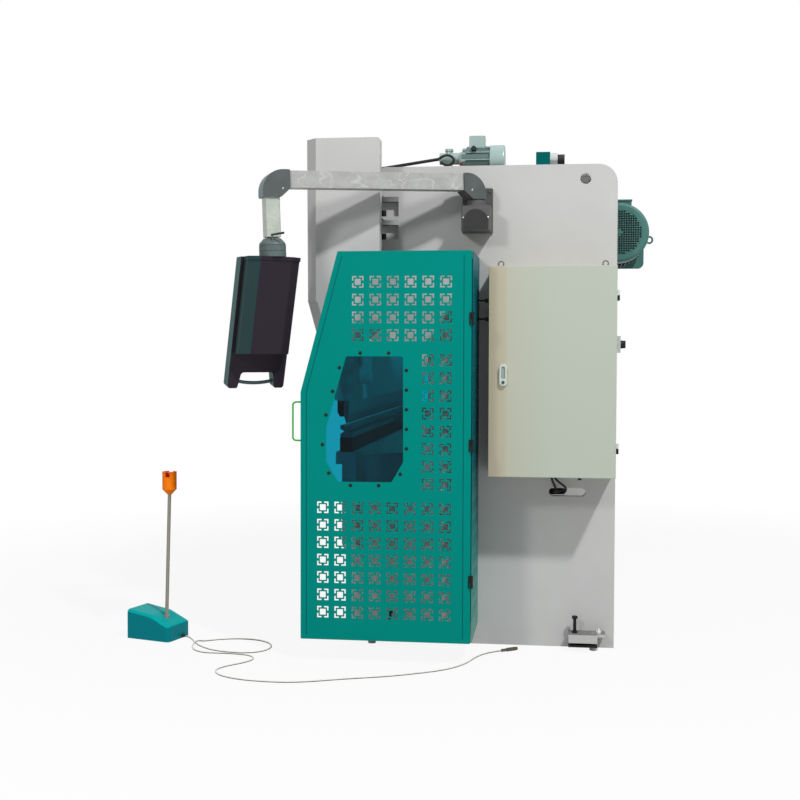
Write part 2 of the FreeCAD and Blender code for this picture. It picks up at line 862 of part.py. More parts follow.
def cabinet_door():
    """Folded door panel."""
    y = (cabinet_front_y, cabinet_front_y + cabinet_width)
    z = (cabinet_bottom, cabinet_bottom + cabinet_height)
    sheet = cabinet_door_sheet
    outer = span((cabinet_door_back, cabinet_face_x), y, z)
    outer = outer.makeFillet(sheet, [edge for edge in outer.Edges
                                     if edge.BoundBox.XMin > cabinet_face_x - 0.1])
    hollow = span((cabinet_door_back - 1, cabinet_face_x - sheet),
                  (y[0] + sheet, y[1] - sheet), (z[0] + sheet, z[1] - sheet))
    return outer.cut(hollow)


def cabinet_hinge_halves():
    """Two lift-off hinges at the rear edge of the cabinet."""
    rear = cabinet_front_y + cabinet_width
    axis = V(cabinet_face_x - 8, rear + cabinet_axis_out, 0)
    radius = 5.0
    lower = []
    upper = []
    for level in (cabinet_bottom + 140, cabinet_bottom + cabinet_height - 140):
        base = axis + Z_AXIS * (level - 25)
        leaf = span((frame_out + cabinet_depth - 30, frame_out + cabinet_depth),
                    (rear, rear + 5), (level - 25, level - 0.5))
        link = span((frame_out + cabinet_depth - 30, axis.x), (rear + 2, rear + 5),
                    (level - 25, level - 0.5))
        knuckle = rod(radius, 24.5, base)
        pin = rod(2.5, 44, base)
        lower.append(joined([leaf, link, knuckle, pin]))
        sleeve = rod(radius, 24.5, base + Z_AXIS * 25.5)
        tab = span((axis.x - 4, axis.x + 4), (rear, axis.y), (level + 0.5, level + 25))
        upper.append(joined([sleeve, tab]).cut(rod(2.5 + running_gap, 60, base)))
    return Part.makeCompound(lower), Part.makeCompound(upper)


def cabinet_lock():
    """Obround lock plate with its raised insert."""
    depth, width, height = lock_size
    low = lock_z - height / 2
    outline = [(lock_y - width / 2, low), (lock_y + width / 2, low),
               (lock_y + width / 2, low + height), (lock_y - width / 2, low + height)]
    body = plate_x(outline, cabinet_face_x, cabinet_face_x + depth, [width / 2 - 0.01] * 4)
    recess = plate_x([(lock_y - 9, low + 34), (lock_y + 9, low + 34),
                      (lock_y + 9, low + height - 14), (lock_y - 9, low + height - 14)],
                     cabinet_face_x + depth - 5, cabinet_face_x + depth + 1, [8] * 4)
    insert = rod(7, 4, V(cabinet_face_x + depth, lock_y, low + 18), X_AXIS)
    return joined([body.cut(recess), insert])


def cabinet_hooks():
    """Two lifting eyes on the cabinet's top."""
    top = cabinet_bottom + cabinet_height
    hooks = []
    for y in (cabinet_front_y + hook_inset, cabinet_front_y + cabinet_width - hook_inset):
        x = frame_out + cabinet_depth / 2
        ring = Part.makeTorus(hook_radius, hook_wire, V(x, y, top + hook_radius + 6), X_AXIS)
        stem = rod(hook_wire + 1, 8, V(x, y, top))
        hooks.append(joined([ring, stem]))
    return Part.makeCompound(hooks)


switch_face = cabinet_front_y + cabinet_width + switch_base[1]


def switch_body():
    """Isolator housing on the rear side of the cabinet, with its shaft."""
    width, depth, height = switch_base
    rear = cabinet_front_y + cabinet_width
    base = span((switch_x - width / 2, switch_x + width / 2), (rear, rear + depth),
                (switch_z - height / 2, switch_z + height / 2))
    shaft = rod(5, 14, V(switch_x, rear + depth, switch_z), Y_AXIS)
    return joined([base, shaft])


def switch_knob():
    """Turning knob with a raised grip bar."""
    start = V(switch_x, switch_face + 1, switch_z)
    disc = rod(switch_knob_radius, switch_knob_depth / 2, start, Y_AXIS)
    bar = span((switch_x - 6, switch_x + 6), (start.y, start.y + switch_knob_depth),
               (switch_z - switch_knob_radius + 1, switch_z + switch_knob_radius - 1))
    return joined([disc, bar]).cut(rod(5 + running_gap, 14, start - Y_AXIS, Y_AXIS))


def cabinet_glands():
    """Two cable glands on the cabinet's front side wall."""
    glands = []
    for level in (1712.0, 1622.0):
        start = V(frame_out + 60, cabinet_front_y, level)
        glands.append(joined([rod(15, 12, start - Y_AXIS * 12, Y_AXIS),
                              rod(10, 24, start - Y_AXIS * 30, Y_AXIS)]))
    return Part.makeCompound(glands)


def arm_bracket():
    """Wall plate and cast base that carry the pendant arm."""
    plate_y0 = pivot_y - arm_plate_width / 2
    plate_y1 = pivot_y + arm_plate_width / 2
    plate = span((frame_out, frame_out + arm_plate_thickness), (plate_y0, plate_y1), arm_plate_z)
    plate = plate.makeFillet(8, [edge for edge in plate.Edges
                                 if edge.BoundBox.ZMin > arm_plate_z[1] - 0.1
                                 and edge.BoundBox.YLength < 0.1])
    hole = rod(9, arm_plate_thickness + 2, V(frame_out - 1, plate_y1 - 20, arm_plate_z[1] - 26),
               X_AXIS)
    near = frame_out + arm_base_depth
    base = span((frame_out, near), (pivot_y - arm_base_width / 2, pivot_y + arm_base_width / 2),
                arm_base_z)
    base = base.makeFillet(10, [edge for edge in base.Edges if edge.BoundBox.XMin > near - 0.1
                                and edge.BoundBox.ZLength > 50])
    radius = arm_base_width / 2 - 10
    cover = rod(radius, 4, V(near, pivot_y, arm_base_z[0] + 42), X_AXIS)
    skirt = span((near, near + 4), (pivot_y - radius, pivot_y + radius),
                 (arm_base_z[0] + 6, arm_base_z[0] + 42))
    dome = cover.common(span((near, near + 4), (pivot_y - 200, pivot_y + 200),
                             (arm_base_z[0] + 42, arm_base_z[1])))
    ring = rod(ring_radius + 8, 12, V(pivot_x, pivot_y, arm_base_z[1]))
    collar = rod(ring_radius, ring_top - arm_base_z[1], V(pivot_x, pivot_y, arm_base_z[1]))
    pin = rod(pivot_pin_radius, ring_top + pivot_pin_height - arm_base_z[1],
              V(pivot_x, pivot_y, arm_base_z[1]))
    return joined([plate.cut(hole), base, skirt, dome, ring, collar, pin])


pivot_top = V(pivot_x, pivot_y, (beam_z[0] + beam_z[1]) / 2)


def at_arm(shape):
    """Turn a shape drawn level along -Y from the pivot to the arm's resting pose."""
    drooped = turned(shape, arm_droop, pivot_top, X_AXIS)
    return turned(drooped, arm_angle, pivot_top)


def elbow_profile(flip, heel):
    """Side view of an elbow in the distance from its own axis and in height."""
    low = beam_z[0] - elbow_foot_drop
    high = beam_z[1] + elbow_margin
    return [(flip * heel, low), (flip * heel, high), (-flip * elbow_toe, high),
            (-flip * elbow_toe, beam_z[0] - elbow_margin),
            (flip * (elbow_chamfer - elbow_toe), low)]


def arm_elbow():
    """Elbow over the pivot, bored for the pivot pin."""
    outline = [(pivot_y + y, z) for y, z in elbow_profile(1, elbow_heels[0])]
    radii = [4, elbow_radius, 6, 6, 4]
    half = elbow_width / 2
    low = beam_z[0] - elbow_foot_drop
    body = plate_x(outline, pivot_x - half, pivot_x + half, radii)
    bore = rod(pivot_pin_radius + running_gap, pivot_pin_height + clearance,
               V(pivot_x, pivot_y, low - 1))
    return at_arm(body).cut(bore)


def arm_beam():
    """Square beam between the two elbows."""
    start = pivot_y - elbow_toe
    end = pivot_y - arm_length + elbow_toe
    half = beam_width / 2
    return at_arm(span((pivot_x - half, pivot_x + half), (end, start), beam_z))


def end_elbow():
    """Elbow at the outer end of the beam."""
    centre = pivot_y - arm_length
    outline = [(centre + y, z) for y, z in elbow_profile(-1, elbow_heels[1])]
    radii = [4, elbow_radius, 6, 6, 4]
    half = elbow_width / 2
    return at_arm(plate_x(outline, pivot_x - half, pivot_x + half, radii))


def drop_tube():
    """Short square tube below the outer elbow, with a round pin at its foot."""
    centre = V(pivot_x, pivot_y - arm_length, 0)
    half = drop_tube_width / 2
    top = beam_z[0] - elbow_foot_drop
    tube = span((centre.x - half, centre.x + half), (centre.y - half, centre.y + half),
                (drop_tube_bottom, top))
    upright = [edge for edge in tube.Edges if edge.BoundBox.ZLength > drop_tube_width]
    tube = tube.makeFillet(drop_tube_corner, upright)
    pin = rod(coupling_pin_radius, coupling_pin_depth + drop_tube_bottom - coupling_top,
              centre + Z_AXIS * (coupling_top - coupling_pin_depth))
    return at_arm(joined([tube, pin]))


drop_axis = V(pivot_x, pivot_y - arm_length, 0)


def pendant_coupling():
    """Round coupling with two grooves, bored for the tube's pin."""
    radius = coupling_radius
    profile = [V(0, 0, coupling_base), V(radius, 0, coupling_base),
               V(radius, 0, coupling_base + 24), V(radius - 2, 0, coupling_base + 26),
               V(radius, 0, coupling_base + 28), V(radius, 0, coupling_base + 50),
               V(radius - 2, 0, coupling_base + 52), V(radius, 0, coupling_base + 54),
               V(radius - 3, 0, coupling_shoulder_z), V(radius - 22, 0, coupling_top),
               V(0, 0, coupling_top)]
    body = Part.Face(Part.makePolygon(profile + profile[:1])).revolve(V(0, 0, 0), Z_AXIS, 360)
    body = Part.Solid(body) if body.ShapeType != "Solid" else body
    bore = rod(coupling_pin_radius + running_gap, coupling_pin_depth + 10,
               V(0, 0, coupling_top - coupling_pin_depth - clearance))
    coupling = body.cut(bore)
    coupling.translate(drop_axis)
    return at_arm(coupling).cut(pendant_housing()).cut(pendant_bezel())


def clamp_lever():
    """Clamping lever on the coupling's shoulder, outside the turning tube's corners."""
    foot = V(lever_reach, 0, coupling_shoulder_z - lever_stem_radius)
    stem = turned(rod(lever_stem_radius, lever_stem_height, foot), lever_foot_turn)
    start = foot + Z_AXIS * (lever_stem_height - lever_radius)
    start = turned(Part.Vertex(start), lever_foot_turn).Point
    aim = V(math.cos(math.radians(lever_turn)), math.sin(math.radians(lever_turn)), lever_rise)
    aim.normalize()
    grip = Part.makeCone(lever_radius, lever_radius + 1, lever_length, start - aim * 6, aim)
    lever = joined([stem, grip])
    lever.translate(drop_axis)
    return at_arm(lever)


def hang_point():
    """World point of the coupling's base, where the pendant hangs."""
    return at_arm(Part.Vertex(drop_axis + Z_AXIS * coupling_base)).Point


def at_pendant(shape):
    """From the housing's own frame (x across, y to the back, z up) to its place."""
    copy = turned(shape, pendant_turn - 90)
    copy.translate(hang_point())
    return copy


def leant(shape):
    """Lean a slab so that it runs to the front as it goes down, and cut its top level."""
    copy = turned(shape, -math.degrees(math.atan(pendant_lean)), V(0, 0, 0), X_AXIS)
    reach = pendant_bezel_height
    return copy.common(span((-reach, reach), (-reach, reach), (-2 * reach, 0)))


def leaning_prism(outline, top, low):
    """Level-cut prism whose sections slide forward as they go down."""
    upper = [V(x, y + pendant_lean * top, top) for x, y in outline]
    lower = [V(x, y + pendant_lean * low, low) for x, y in outline]
    loops = [upper, lower[::-1]]
    for index in range(len(outline)):
        follow = (index + 1) % len(outline)
        loops.append([upper[index], lower[index], lower[follow], upper[follow]])
    faces = [Part.Face(Part.makePolygon(loop + loop[:1])) for loop in loops]
    return Part.Solid(Part.Shell(faces))


def chamfered_plan(margin):
    """Plan outline of the pendant's rear body with its two chamfered back corners."""
    half = pendant_half + margin
    back = pendant_back + margin
    across, along = pendant_chamfer
    split = pendant_front + pendant_bezel_depth + pendant_groove
    return [(-half, split - margin), (half, split - margin), (half, back - along),
            (half - across, back), (across - half, back), (-half, back - along)]


def pendant_housing():
    """Rear body of the control panel, leaning and tapering, with its lid and grooved neck."""
    split = pendant_front + pendant_bezel_depth
    rear = leaning_prism(chamfered_plan(0), 0, -pendant_body_height)
    lid = leaning_prism(chamfered_plan(pendant_lip), 0, -pendant_lip_height)
    inner = pendant_neck_half
    neck = leaning_prism([(-inner, split), (inner, split), (inner, split + pendant_groove),
                          (-inner, split + pendant_groove)],
                         0, -pendant_body_height - pendant_neck_drop)
    return at_pendant(joined([rear, lid, neck]))


def bezel_slab(outline, front, back, radii):
    """Slab of the leaning front frame, given by horizontal depths."""
    upright = math.cos(math.atan(pendant_lean))
    return leant(plate_y(outline, front * upright, back * upright, radii))


def pendant_bezel():
    """Front frame of the panel, longer than the body, with screen recess and hand arch."""
    half = pendant_bezel_half
    front = pendant_front
    back = front + pendant_bezel_depth
    above = pendant_bezel_depth
    low = -pendant_bezel_height
    outline = [(-half, low), (-arch_half_low, low), (-arch_half_top, low + arch_height),
               (arch_half_top, low + arch_height), (arch_half_low, low), (half, low),
               (half, above), (-half, above)]
    frame = bezel_slab(outline, front, back, [14, 10, 16, 16, 10, 14, 0, 0])
    wide = half - screen_inset
    screen = bezel_slab([(-wide, screen_low), (wide, screen_low), (wide, -screen_drop),
                         (-wide, -screen_drop)], front - 1, front + screen_recess, [0] * 4)
    keys = bezel_slab([(-wide, keys_low), (wide, keys_low), (wide, keys_top), (-wide, keys_top)],
                      front - 1, front + screen_recess, [0] * 4)
    return at_pendant(frame.cut(screen).cut(keys))


def pendant_screen():
    half = pendant_bezel_half - screen_inset - 1
    front = pendant_front
    return at_pendant(bezel_slab([(-half, screen_low + 1), (half, screen_low + 1),
                                  (half, -screen_drop - 1), (-half, -screen_drop - 1)],
                                 front + 1, front + screen_recess, [0] * 4))


def pendant_keypad():
    """Key field below the screen, with rows of keys."""
    half = pendant_bezel_half - screen_inset - 1
    front = pendant_front
    top = keys_top - 1
    low = keys_low + 1
    shapes = [bezel_slab([(-half, low), (half, low), (half, top), (-half, top)],
                         front + 1, front + screen_recess, [0] * 4)]
    pitch_x = 2 * half / key_columns
    pitch_z = (top - low) / key_rows
    for row in range(key_rows):
        for column in range(key_columns):
            x = -half + pitch_x * (column + 0.5)
            z = low + pitch_z * (row + 0.5)
            outline = [(x - key_half, z - key_half), (x + key_half, z - key_half),
                       (x + key_half, z + key_half), (x - key_half, z + key_half)]
            shapes.append(bezel_slab(outline, front - 1, front + 1, [0] * 4))
    return at_pendant(joined(shapes))


def pendant_grip():
    """Bowed grip bar across the arch, its ends in the two legs."""
    low = grip_rise - pendant_bezel_height
    reach = arch_half_low
    y = (pendant_front + pendant_bezel_depth / 2) * math.cos(math.atan(pendant_lean))
    arc = Part.Arc(V(-reach, y, low), V(0, y, low - grip_bow), V(reach, y, low))
    edge = arc.toShape()
    direction = edge.tangentAt(edge.FirstParameter)
    bar = swept_tube([edge], grip_radius, V(-reach, y, low), direction)
    return at_pendant(leant(bar)).cut(pendant_bezel())


def main_motor():
    """Finned motor body with its feet flange, lying along X at the rear."""
    start = motor_cowl_x - motor_cowl_length
    length = motor_length - motor_cowl_length
    body = rod(motor_body_radius, length, V(start, motor_y, motor_z), X_AXIS * -1)
    fins = []
    for index in range(motor_fin_count):
        angle = 360.0 * index / motor_fin_count
        fin = span((start - length + 40, start), (motor_y - motor_fin_width / 2,
                                                  motor_y + motor_fin_width / 2),
                   (motor_z, motor_z + motor_body_radius + motor_fin_height))
        fins.append(turned(fin, angle, V(0, motor_y, motor_z), X_AXIS))
    flange = rod(motor_cowl_radius, motor_flange_thickness,
                 V(start - length, motor_y, motor_z), X_AXIS * -1)
    return joined([body, flange] + fins)


def motor_cowl():
    """Fan cowl with a rounded rim and a recessed grille disc."""
    start = motor_cowl_x - motor_cowl_length
    cowl = rod(motor_cowl_radius, motor_cowl_length, V(start, motor_y, motor_z), X_AXIS)
    rim = [edge for edge in cowl.Edges if edge.BoundBox.XMin > motor_cowl_x - 0.1]
    cowl = cowl.makeFillet(16, rim)
    recess = rod(motor_grille_radius, 6, V(motor_cowl_x - 6, motor_y, motor_z), X_AXIS)
    hub = rod(7, 6, V(motor_cowl_x - 6, motor_y, motor_z), X_AXIS)
    return joined([cowl.cut(recess), hub])


def motor_box():
    """Terminal box on top of the motor."""
    long, wide, high = motor_box_size
    x = motor_cowl_x - motor_cowl_length - 40
    low = motor_z + motor_body_radius + motor_fin_height - 6
    foot = span((x - long, x), (motor_y - 30, motor_y + 36), (motor_z + 100, low + 10))
    box = span((x - long, x), (motor_y - wide / 2 + 20, motor_y + wide / 2 + 20),
               (low + 10, low + high - 8))
    lid = span((x - long - 3, x + 3), (motor_y - wide / 2 + 17, motor_y + wide / 2 + 23),
               (low + high - 8, low + high))
    return joined([foot.cut(main_motor()), box, lid])


def motor_eye():
    """Lifting eye on the motor's rear side."""
    x = motor_cowl_x - motor_cowl_length - 60
    reach = motor_body_radius + motor_fin_height
    ring_y = motor_y + reach + eye_ring_radius + 6
    ring = Part.makeTorus(eye_ring_radius, eye_wire, V(x, ring_y, motor_z - 22), X_AXIS)
    stem = rod(8, 30, V(x, motor_y + reach - 18, motor_z - 22), Y_AXIS)
    return joined([ring, stem.cut(main_motor())])


def motor_mount():
    """Bracket plate that carries the motor flange from the tank, with the pump behind it."""
    x = motor_cowl_x - motor_length - motor_flange_thickness
    plate = plate_x([(tank_y[1], motor_z - 150), (motor_y + 150, motor_z - 150),
                     (motor_y + 150, motor_z + 60), (motor_y + 60, motor_z + 150),
                     (tank_y[1], motor_z + 150)], x - 16, x, [0, 30, 30, 30, 0])
    web = span((x - 16 - 90, x - 16), (tank_y[1], tank_y[1] + 60), (motor_z - 150, motor_z + 150))
    pump = rod(62, 150, V(x - 16 - 150, motor_y, motor_z), X_AXIS)
    port = rod(24, 110, V(x - 16 - 80, motor_y, motor_z), Z_AXIS)
    return joined([plate, web, pump, port])


def top_motor():
    """Small motor on the tank's platform, axis along Y, with its terminal box."""
    low, high = top_motor_y
    body_low = low
    body = rod(top_motor_radius - 8, high - low - 70, V(top_motor_x, body_low, top_motor_z), Y_AXIS)
    fins = []
    for index in range(12):
        fin = span((top_motor_x - 2, top_motor_x + 2), (body_low + 20, high - 72),
                   (top_motor_z, top_motor_z + top_motor_radius))
        fins.append(turned(fin, 30.0 * index, V(top_motor_x, 0, top_motor_z), Y_AXIS))
    cowl = rod(top_motor_radius + 4, 74, V(top_motor_x, high - 74, top_motor_z), Y_AXIS)
    cowl = cowl.makeFillet(8, [edge for edge in cowl.Edges if edge.BoundBox.YMin > high - 0.1])
    box = span((top_motor_x - 38, top_motor_x + 38), (low + 34, low + 114),
               (top_motor_z + 40, top_motor_z + 126))
    box = box.makeFillet(9, [edge for edge in box.Edges if edge.BoundBox.ZLength > 40])
    foot = span((top_motor_x - 60, top_motor_x + 60), (low + 20, high - 84),
                (tank_z[1] + tank_lid, top_motor_z))
    return joined([body, cowl, box, foot] + fins)


def top_pump():
    """Pump head and pipe stub in front of the small motor."""
    low = top_motor_y[0]
    head = rod(30, top_pump_length, V(top_motor_x, low - top_pump_length, top_motor_z + 18), Y_AXIS)
    flange = rod(50, 14, V(top_motor_x, low - 14, top_motor_z), Y_AXIS)
    elbow = rod(17, 84, V(top_motor_x, low - 70, top_motor_z - 30))
    elbow_cap = rod(21, 12, V(top_motor_x, low - 70, top_motor_z + 54))
    return joined([head, flange, elbow, elbow_cap])


def top_platform():
    """Sheet platform in front of the tank that carries the small motor and the conduit."""
    top = tank_z[1] + tank_lid
    deck = span((1000, frame_in), (-500, tank_y[0] - 20), (top - 12, top))
    return deck


def top_conduit():
    """Corrugated conduit from the pump to the cylinder head."""
    start = V(top_motor_x, top_motor_y[0] - top_pump_length, top_motor_z + 18)
    end = V(cylinder_x, tool_line_y + cylinder_port_radius - 2, conduit_end_z)
    axis = end - start
    return rod(8, axis.Length, start, axis).cut(cylinder_shape()).cut(top_pump())


def valve_block():
    """Valve body with its coil and end knob."""
    wide, deep, high = valve_size
    base = tank_z[1] + tank_lid
    low = 2412.0
    block = span((valve_x - wide / 2, valve_x + wide / 2), (valve_y, valve_y + deep),
                 (base, low + high))
    coil = rod(valve_coil_radius, valve_coil_length,
               V(valve_x, valve_y + deep, low + high / 2), Y_AXIS)
    knob = rod(valve_coil_radius - 8, valve_knob_length,
               V(valve_x, valve_y + deep + valve_coil_length, low + high / 2), Y_AXIS)
    stub = rod(14, 12, V(valve_x, valve_y - 12, low + high / 2), Y_AXIS)
    return joined([block, coil, knob, stub])


def gauge_rails():
    wide, high = gauge_rail_size
    rails = []
    for side in (-1, 1):
        x = side * gauge_rail_x
        rails.append(span((x - wide / 2, x + wide / 2), (frame_low_front, gauge_rail_rear),
                          (gauge_rail_top - high, gauge_rail_top)))
    return Part.makeCompound(rails)


def gauge_carriages():
    wide, _ = gauge_rail_size
    low, high = gauge_beam_y
    blocks = []
    for side in (-1, 1):
        x = side * gauge_rail_x
        blocks.append(span((x - wide / 2 - 15, x + wide / 2 + 15), (low - 20, high + 20),
                           (gauge_rail_top, gauge_rail_top + gauge_carriage_height)))
    return Part.makeCompound(blocks)


def gauge_beam():
    low = gauge_rail_top + gauge_carriage_height
    reach = gauge_rail_x + 250
    return span((-reach, reach), gauge_beam_y, (low, low + gauge_beam_height))


def gauge_fingers():
    """Stop fingers that stand on the beam and reach towards the die."""
    base = gauge_rail_top + gauge_carriage_height + gauge_beam_height
    fingers = []
    for side in (-1, 1):
        x = side * gauge_finger_x
        outline = [(gauge_beam_y[1], base), (gauge_beam_y[0], base),
                   (gauge_beam_y[0] - 60, base + 30), (gauge_finger_tip, base + 50),
                   (gauge_finger_tip, base + 84), (gauge_beam_y[0], base + 96),
                   (gauge_beam_y[1], base + 96)]
        fingers.append(plate_x(outline, x - 40, x + 40))
    return Part.makeCompound(fingers)


def at_pedal(shape):
    """From the pedal's own frame to the floor: x across, y along it to its low end."""
    copy = shape.copy()
    copy.rotate(V(0, 0, 0), Z_AXIS, -pedal_turn)
    copy.translate(pedal_corner)
    return copy


def pedal_solid(inset):
    """The hood's outer form, or its hollow when moved inwards."""
    outline = [(-pedal_length, 0), (0, 0), (0, pedal_low - inset),
               (-pedal_break, pedal_height - inset - 20), (-pedal_length, pedal_height - inset)]
    radii = [0, 0, 0, 0, 0] if inset else [0, 0, 14, 60, 0]
    return plate_x(outline, -pedal_width + inset, -inset, radii)


def pedal_hood():
    """Cast hood of the foot switch, open at its tall end."""
    outer = pedal_solid(0)
    crown = [edge for edge in outer.Edges if edge.BoundBox.XLength < 1
             and edge.BoundBox.ZMax > pedal_low and edge.BoundBox.YLength > 20]
    outer = outer.makeFillet(pedal_radius, crown)
    hollow = pedal_solid(pedal_wall)
    hollow = hollow.common(span((-pedal_width, 0), (-pedal_length - 1, -pedal_wall - 60),
                                (pedal_wall, pedal_height)))
    return at_pedal(outer.cut(hollow)).cut(pedal_pole())


def pedal_treadle():
    """Treadle plate inside the hood."""
    x = (-pedal_width + 26, -26)
    outline = [(-pedal_length + 10, 30), (-80, 44), (-80, 52), (-pedal_length + 10, 38)]
    plate = plate_x(outline, x[0], x[1])
    post = span((x[0] + 40, x[1] - 40), (-110, -90), (pedal_wall, 46))
    return at_pedal(joined([plate, post]))


pole_foot = V(-pedal_width / 2 + 14, -68, 0)


def pedal_pole():
    """Upright pole that stands in the hood's top."""
    foot = at_pedal(Part.Vertex(pole_foot)).Point
    length = pole_top - 40
    pole = rod(pole_radius, length, V(foot.x, foot.y, 40))
    socket = rod(pole_radius + 5, 60, V(foot.x, foot.y, 60))
    whole = joined([pole, socket])
    return turned(whole, pole_lean, V(foot.x, foot.y, 40), X_AXIS * -1)


def pole_end():
    """Centre of the pole's upper end, after its lean."""
    foot = at_pedal(Part.Vertex(pole_foot)).Point
    lean = math.radians(pole_lean)
    length = pole_top - 40
    return V(foot.x, foot.y + length * math.sin(lean), 40 + length * math.cos(lean))


def stop_head():
    """Round stop head with a conical neck and two shrouds around its button."""
    base = pole_end()
    profile = [V(0, 0, 0), V(pole_radius + 3, 0, 0), V(head_radius, 0, head_neck),
               V(head_radius, 0, head_height), V(cavity_radius, 0, head_height),
               V(cavity_radius, 0, head_height - head_cavity), V(0, 0, head_height - head_cavity)]
    body = Part.Face(Part.makePolygon(profile + profile[:1])).revolve(V(0, 0, 0), Z_AXIS, 360)
    body = Part.Solid(body) if body.ShapeType != "Solid" else body
    floor = head_height - head_cavity
    notch = span((-head_radius - 1, head_radius + 1), (-12, 12), (floor, head_height + 1))
    body = body.cut(notch)
    body = body.cut(rod(stem_radius + running_gap, stem_length, V(0, 0, floor - stem_length + 2)))
    body.translate(base)
    return body.cut(pedal_pole())


def stop_button():
    floor = pole_end() + Z_AXIS * (head_height - head_cavity)
    stem = rod(stem_radius, stem_length, floor + Z_AXIS * (12 - stem_length))
    cap = rod(button_radius, button_height, floor + Z_AXIS * 12)
    return joined([stem, cap])


def pedal_cord():
    """The cord: straight runs joined by arcs that touch both runs."""
    points = [V(*point) for point in cord_points]
    edges = []
    radii = []
    start = points[0]
    for before, here, after in zip(points, points[1:], points[2:]):
        back = before - here
        ahead = after - here
        reach = cord_bend_share * min(back.Length, ahead.Length)
        back.normalize()
        ahead.normalize()
        half = math.acos(max(-1, min(1, back.dot(ahead)))) / 2
        radius = reach * math.tan(half)
        radii.append(radius)
        centre = here + (back + ahead).normalize() * (radius / math.sin(half))
        middle = centre + (here - centre).normalize() * radius
        enter = here + back * reach
        leave = here + ahead * reach
        edges.append(Part.LineSegment(start, enter).toShape())
        edges.append(Part.Arc(enter, middle, leave).toShape())
        start = leave
    edges.append(Part.LineSegment(start, points[-1]).toShape())
    length = sum(edge.Length for edge in edges)
    cord = swept_tube(edges, cord_diameter / 2, points[0], points[1] - points[0])
    section = math.pi * cord_diameter ** 2 / 4
    print("cord length", round(length), "radii from", round(min(radii)),
          "volume ratio", round(cord.Volume / section / length, 4))
    return cord


def cord_connector():
    """Round plug at the cord's free end, lying on the floor."""
    end = V(*cord_points[-1])
    axis = end - V(*cord_points[-2])
    axis.z = 0
    axis.normalize()
    sleeve = rod(connector_radius - 2, connector_length * 0.4, end, axis)
    shell = rod(connector_radius, connector_length * 0.55, end + axis * connector_length * 0.35,
                axis)
    ring = rod(connector_radius - 1, connector_length * 0.15,
               end + axis * connector_length * 0.85, axis)
    return joined([sleeve, shell, ring])


def export(name, shape):
    shape.exportStep(os.path.join("parts", name + ".step"))


def build():
    os.makedirs("parts", exist_ok=True)
    pins, sleeves = guard_hinge_halves()
    cabinet_pins, cabinet_sleeves = cabinet_hinge_halves()
    handed = {
        "side_frame": side_frame(),
        "cylinder": Part.makeCompound([cylinder_shape(), cylinder_bracket()]),
        "guard_wall": guard_wall(),
        "guard_door": guard_door(),
        "guard_window": guard_window(),
        "guard_handle": guard_handle(),
        "guard_hinges": sleeves,
    }
    nodes = {}
    for name, shape in handed.items():
        nodes[name + "_right"] = shape
        nodes[name + "_left"] = mirrored(shape)
    nodes["ram_guides"] = both_sides(guide_rail(), guide_shelves())
    nodes["ram_end_covers"] = both_sides(ram_end_cover())
    nodes["cylinder_rods"] = both_sides(cylinder_rod())
    nodes["hinge_pins"] = Part.makeCompound([both_sides(pins), cabinet_pins])
    nodes["levelling_feet"] = Part.makeCompound(four_corners(foot_bracket()))
    nodes["jack_screws"] = Part.makeCompound(four_corners(jack_screw()))
    nodes["bed_beam"] = joined([bed_beam(), bed_table()])
    nodes["die_holder"] = die_holder()
    nodes["lower_die"] = lower_die()
    nodes["ram_beam"] = Part.makeCompound([ram_beam(), ram_ribs(), both_sides(slide_block())])
    nodes["ram_front_cover"] = ram_front_cover()
    nodes["punch_clamps"] = punch_clamps()
    nodes["punches"] = punches()
    nodes["oil_tank"] = joined([oil_tank(), top_platform()])
    nodes["rear_beam"] = rear_beam()
    nodes["cabinet_box"] = cabinet_box()
    nodes["cabinet_door"] = cabinet_door()
    nodes["cabinet_lock"] = Part.makeCompound([cabinet_lock(), cabinet_sleeves])
    nodes["cabinet_fittings"] = Part.makeCompound([cabinet_hooks(), cabinet_glands()])
    nodes["switch_body"] = switch_body()
    nodes["switch_knob"] = switch_knob()
    nodes["arm_bracket"] = arm_bracket()
    nodes["arm_elbows"] = Part.makeCompound([arm_elbow(), end_elbow()])
    nodes["arm_beam"] = arm_beam()
    nodes["drop_tube"] = drop_tube()
    nodes["pendant_coupling"] = Part.makeCompound([pendant_coupling(), clamp_lever()])
    nodes["pendant_housing"] = pendant_housing()
    nodes["pendant_bezel"] = pendant_bezel()
    nodes["pendant_panel"] = Part.makeCompound([pendant_screen(), pendant_keypad()])
    nodes["pendant_grip"] = pendant_grip()
    nodes["main_motor"] = main_motor()
    nodes["motor_cowl"] = motor_cowl()
    nodes["motor_fittings"] = Part.makeCompound([motor_box(), motor_eye()])
    nodes["motor_mount"] = motor_mount()
    nodes["top_motor"] = Part.makeCompound([top_motor(), top_pump()])
    nodes["top_conduit"] = top_conduit()
    nodes["valve_block"] = valve_block()
    nodes["back_gauge"] = Part.makeCompound([gauge_rails(), gauge_carriages(), gauge_beam(),
                                             gauge_fingers()])
    nodes["pedal_hood"] = pedal_hood()
    nodes["pedal_treadle"] = pedal_treadle()
    nodes["pedal_pole"] = pedal_pole()
    nodes["stop_head"] = stop_head()
    nodes["stop_button"] = stop_button()
    nodes["pedal_cord"] = pedal_cord()
    nodes["cord_connector"] = cord_connector()
    for name, shape in nodes.items():
        export(name, shape)
    print(len(nodes), "nodes")


build()
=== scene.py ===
import math

import bmesh
import bpy
from mathutils import Matrix, Vector


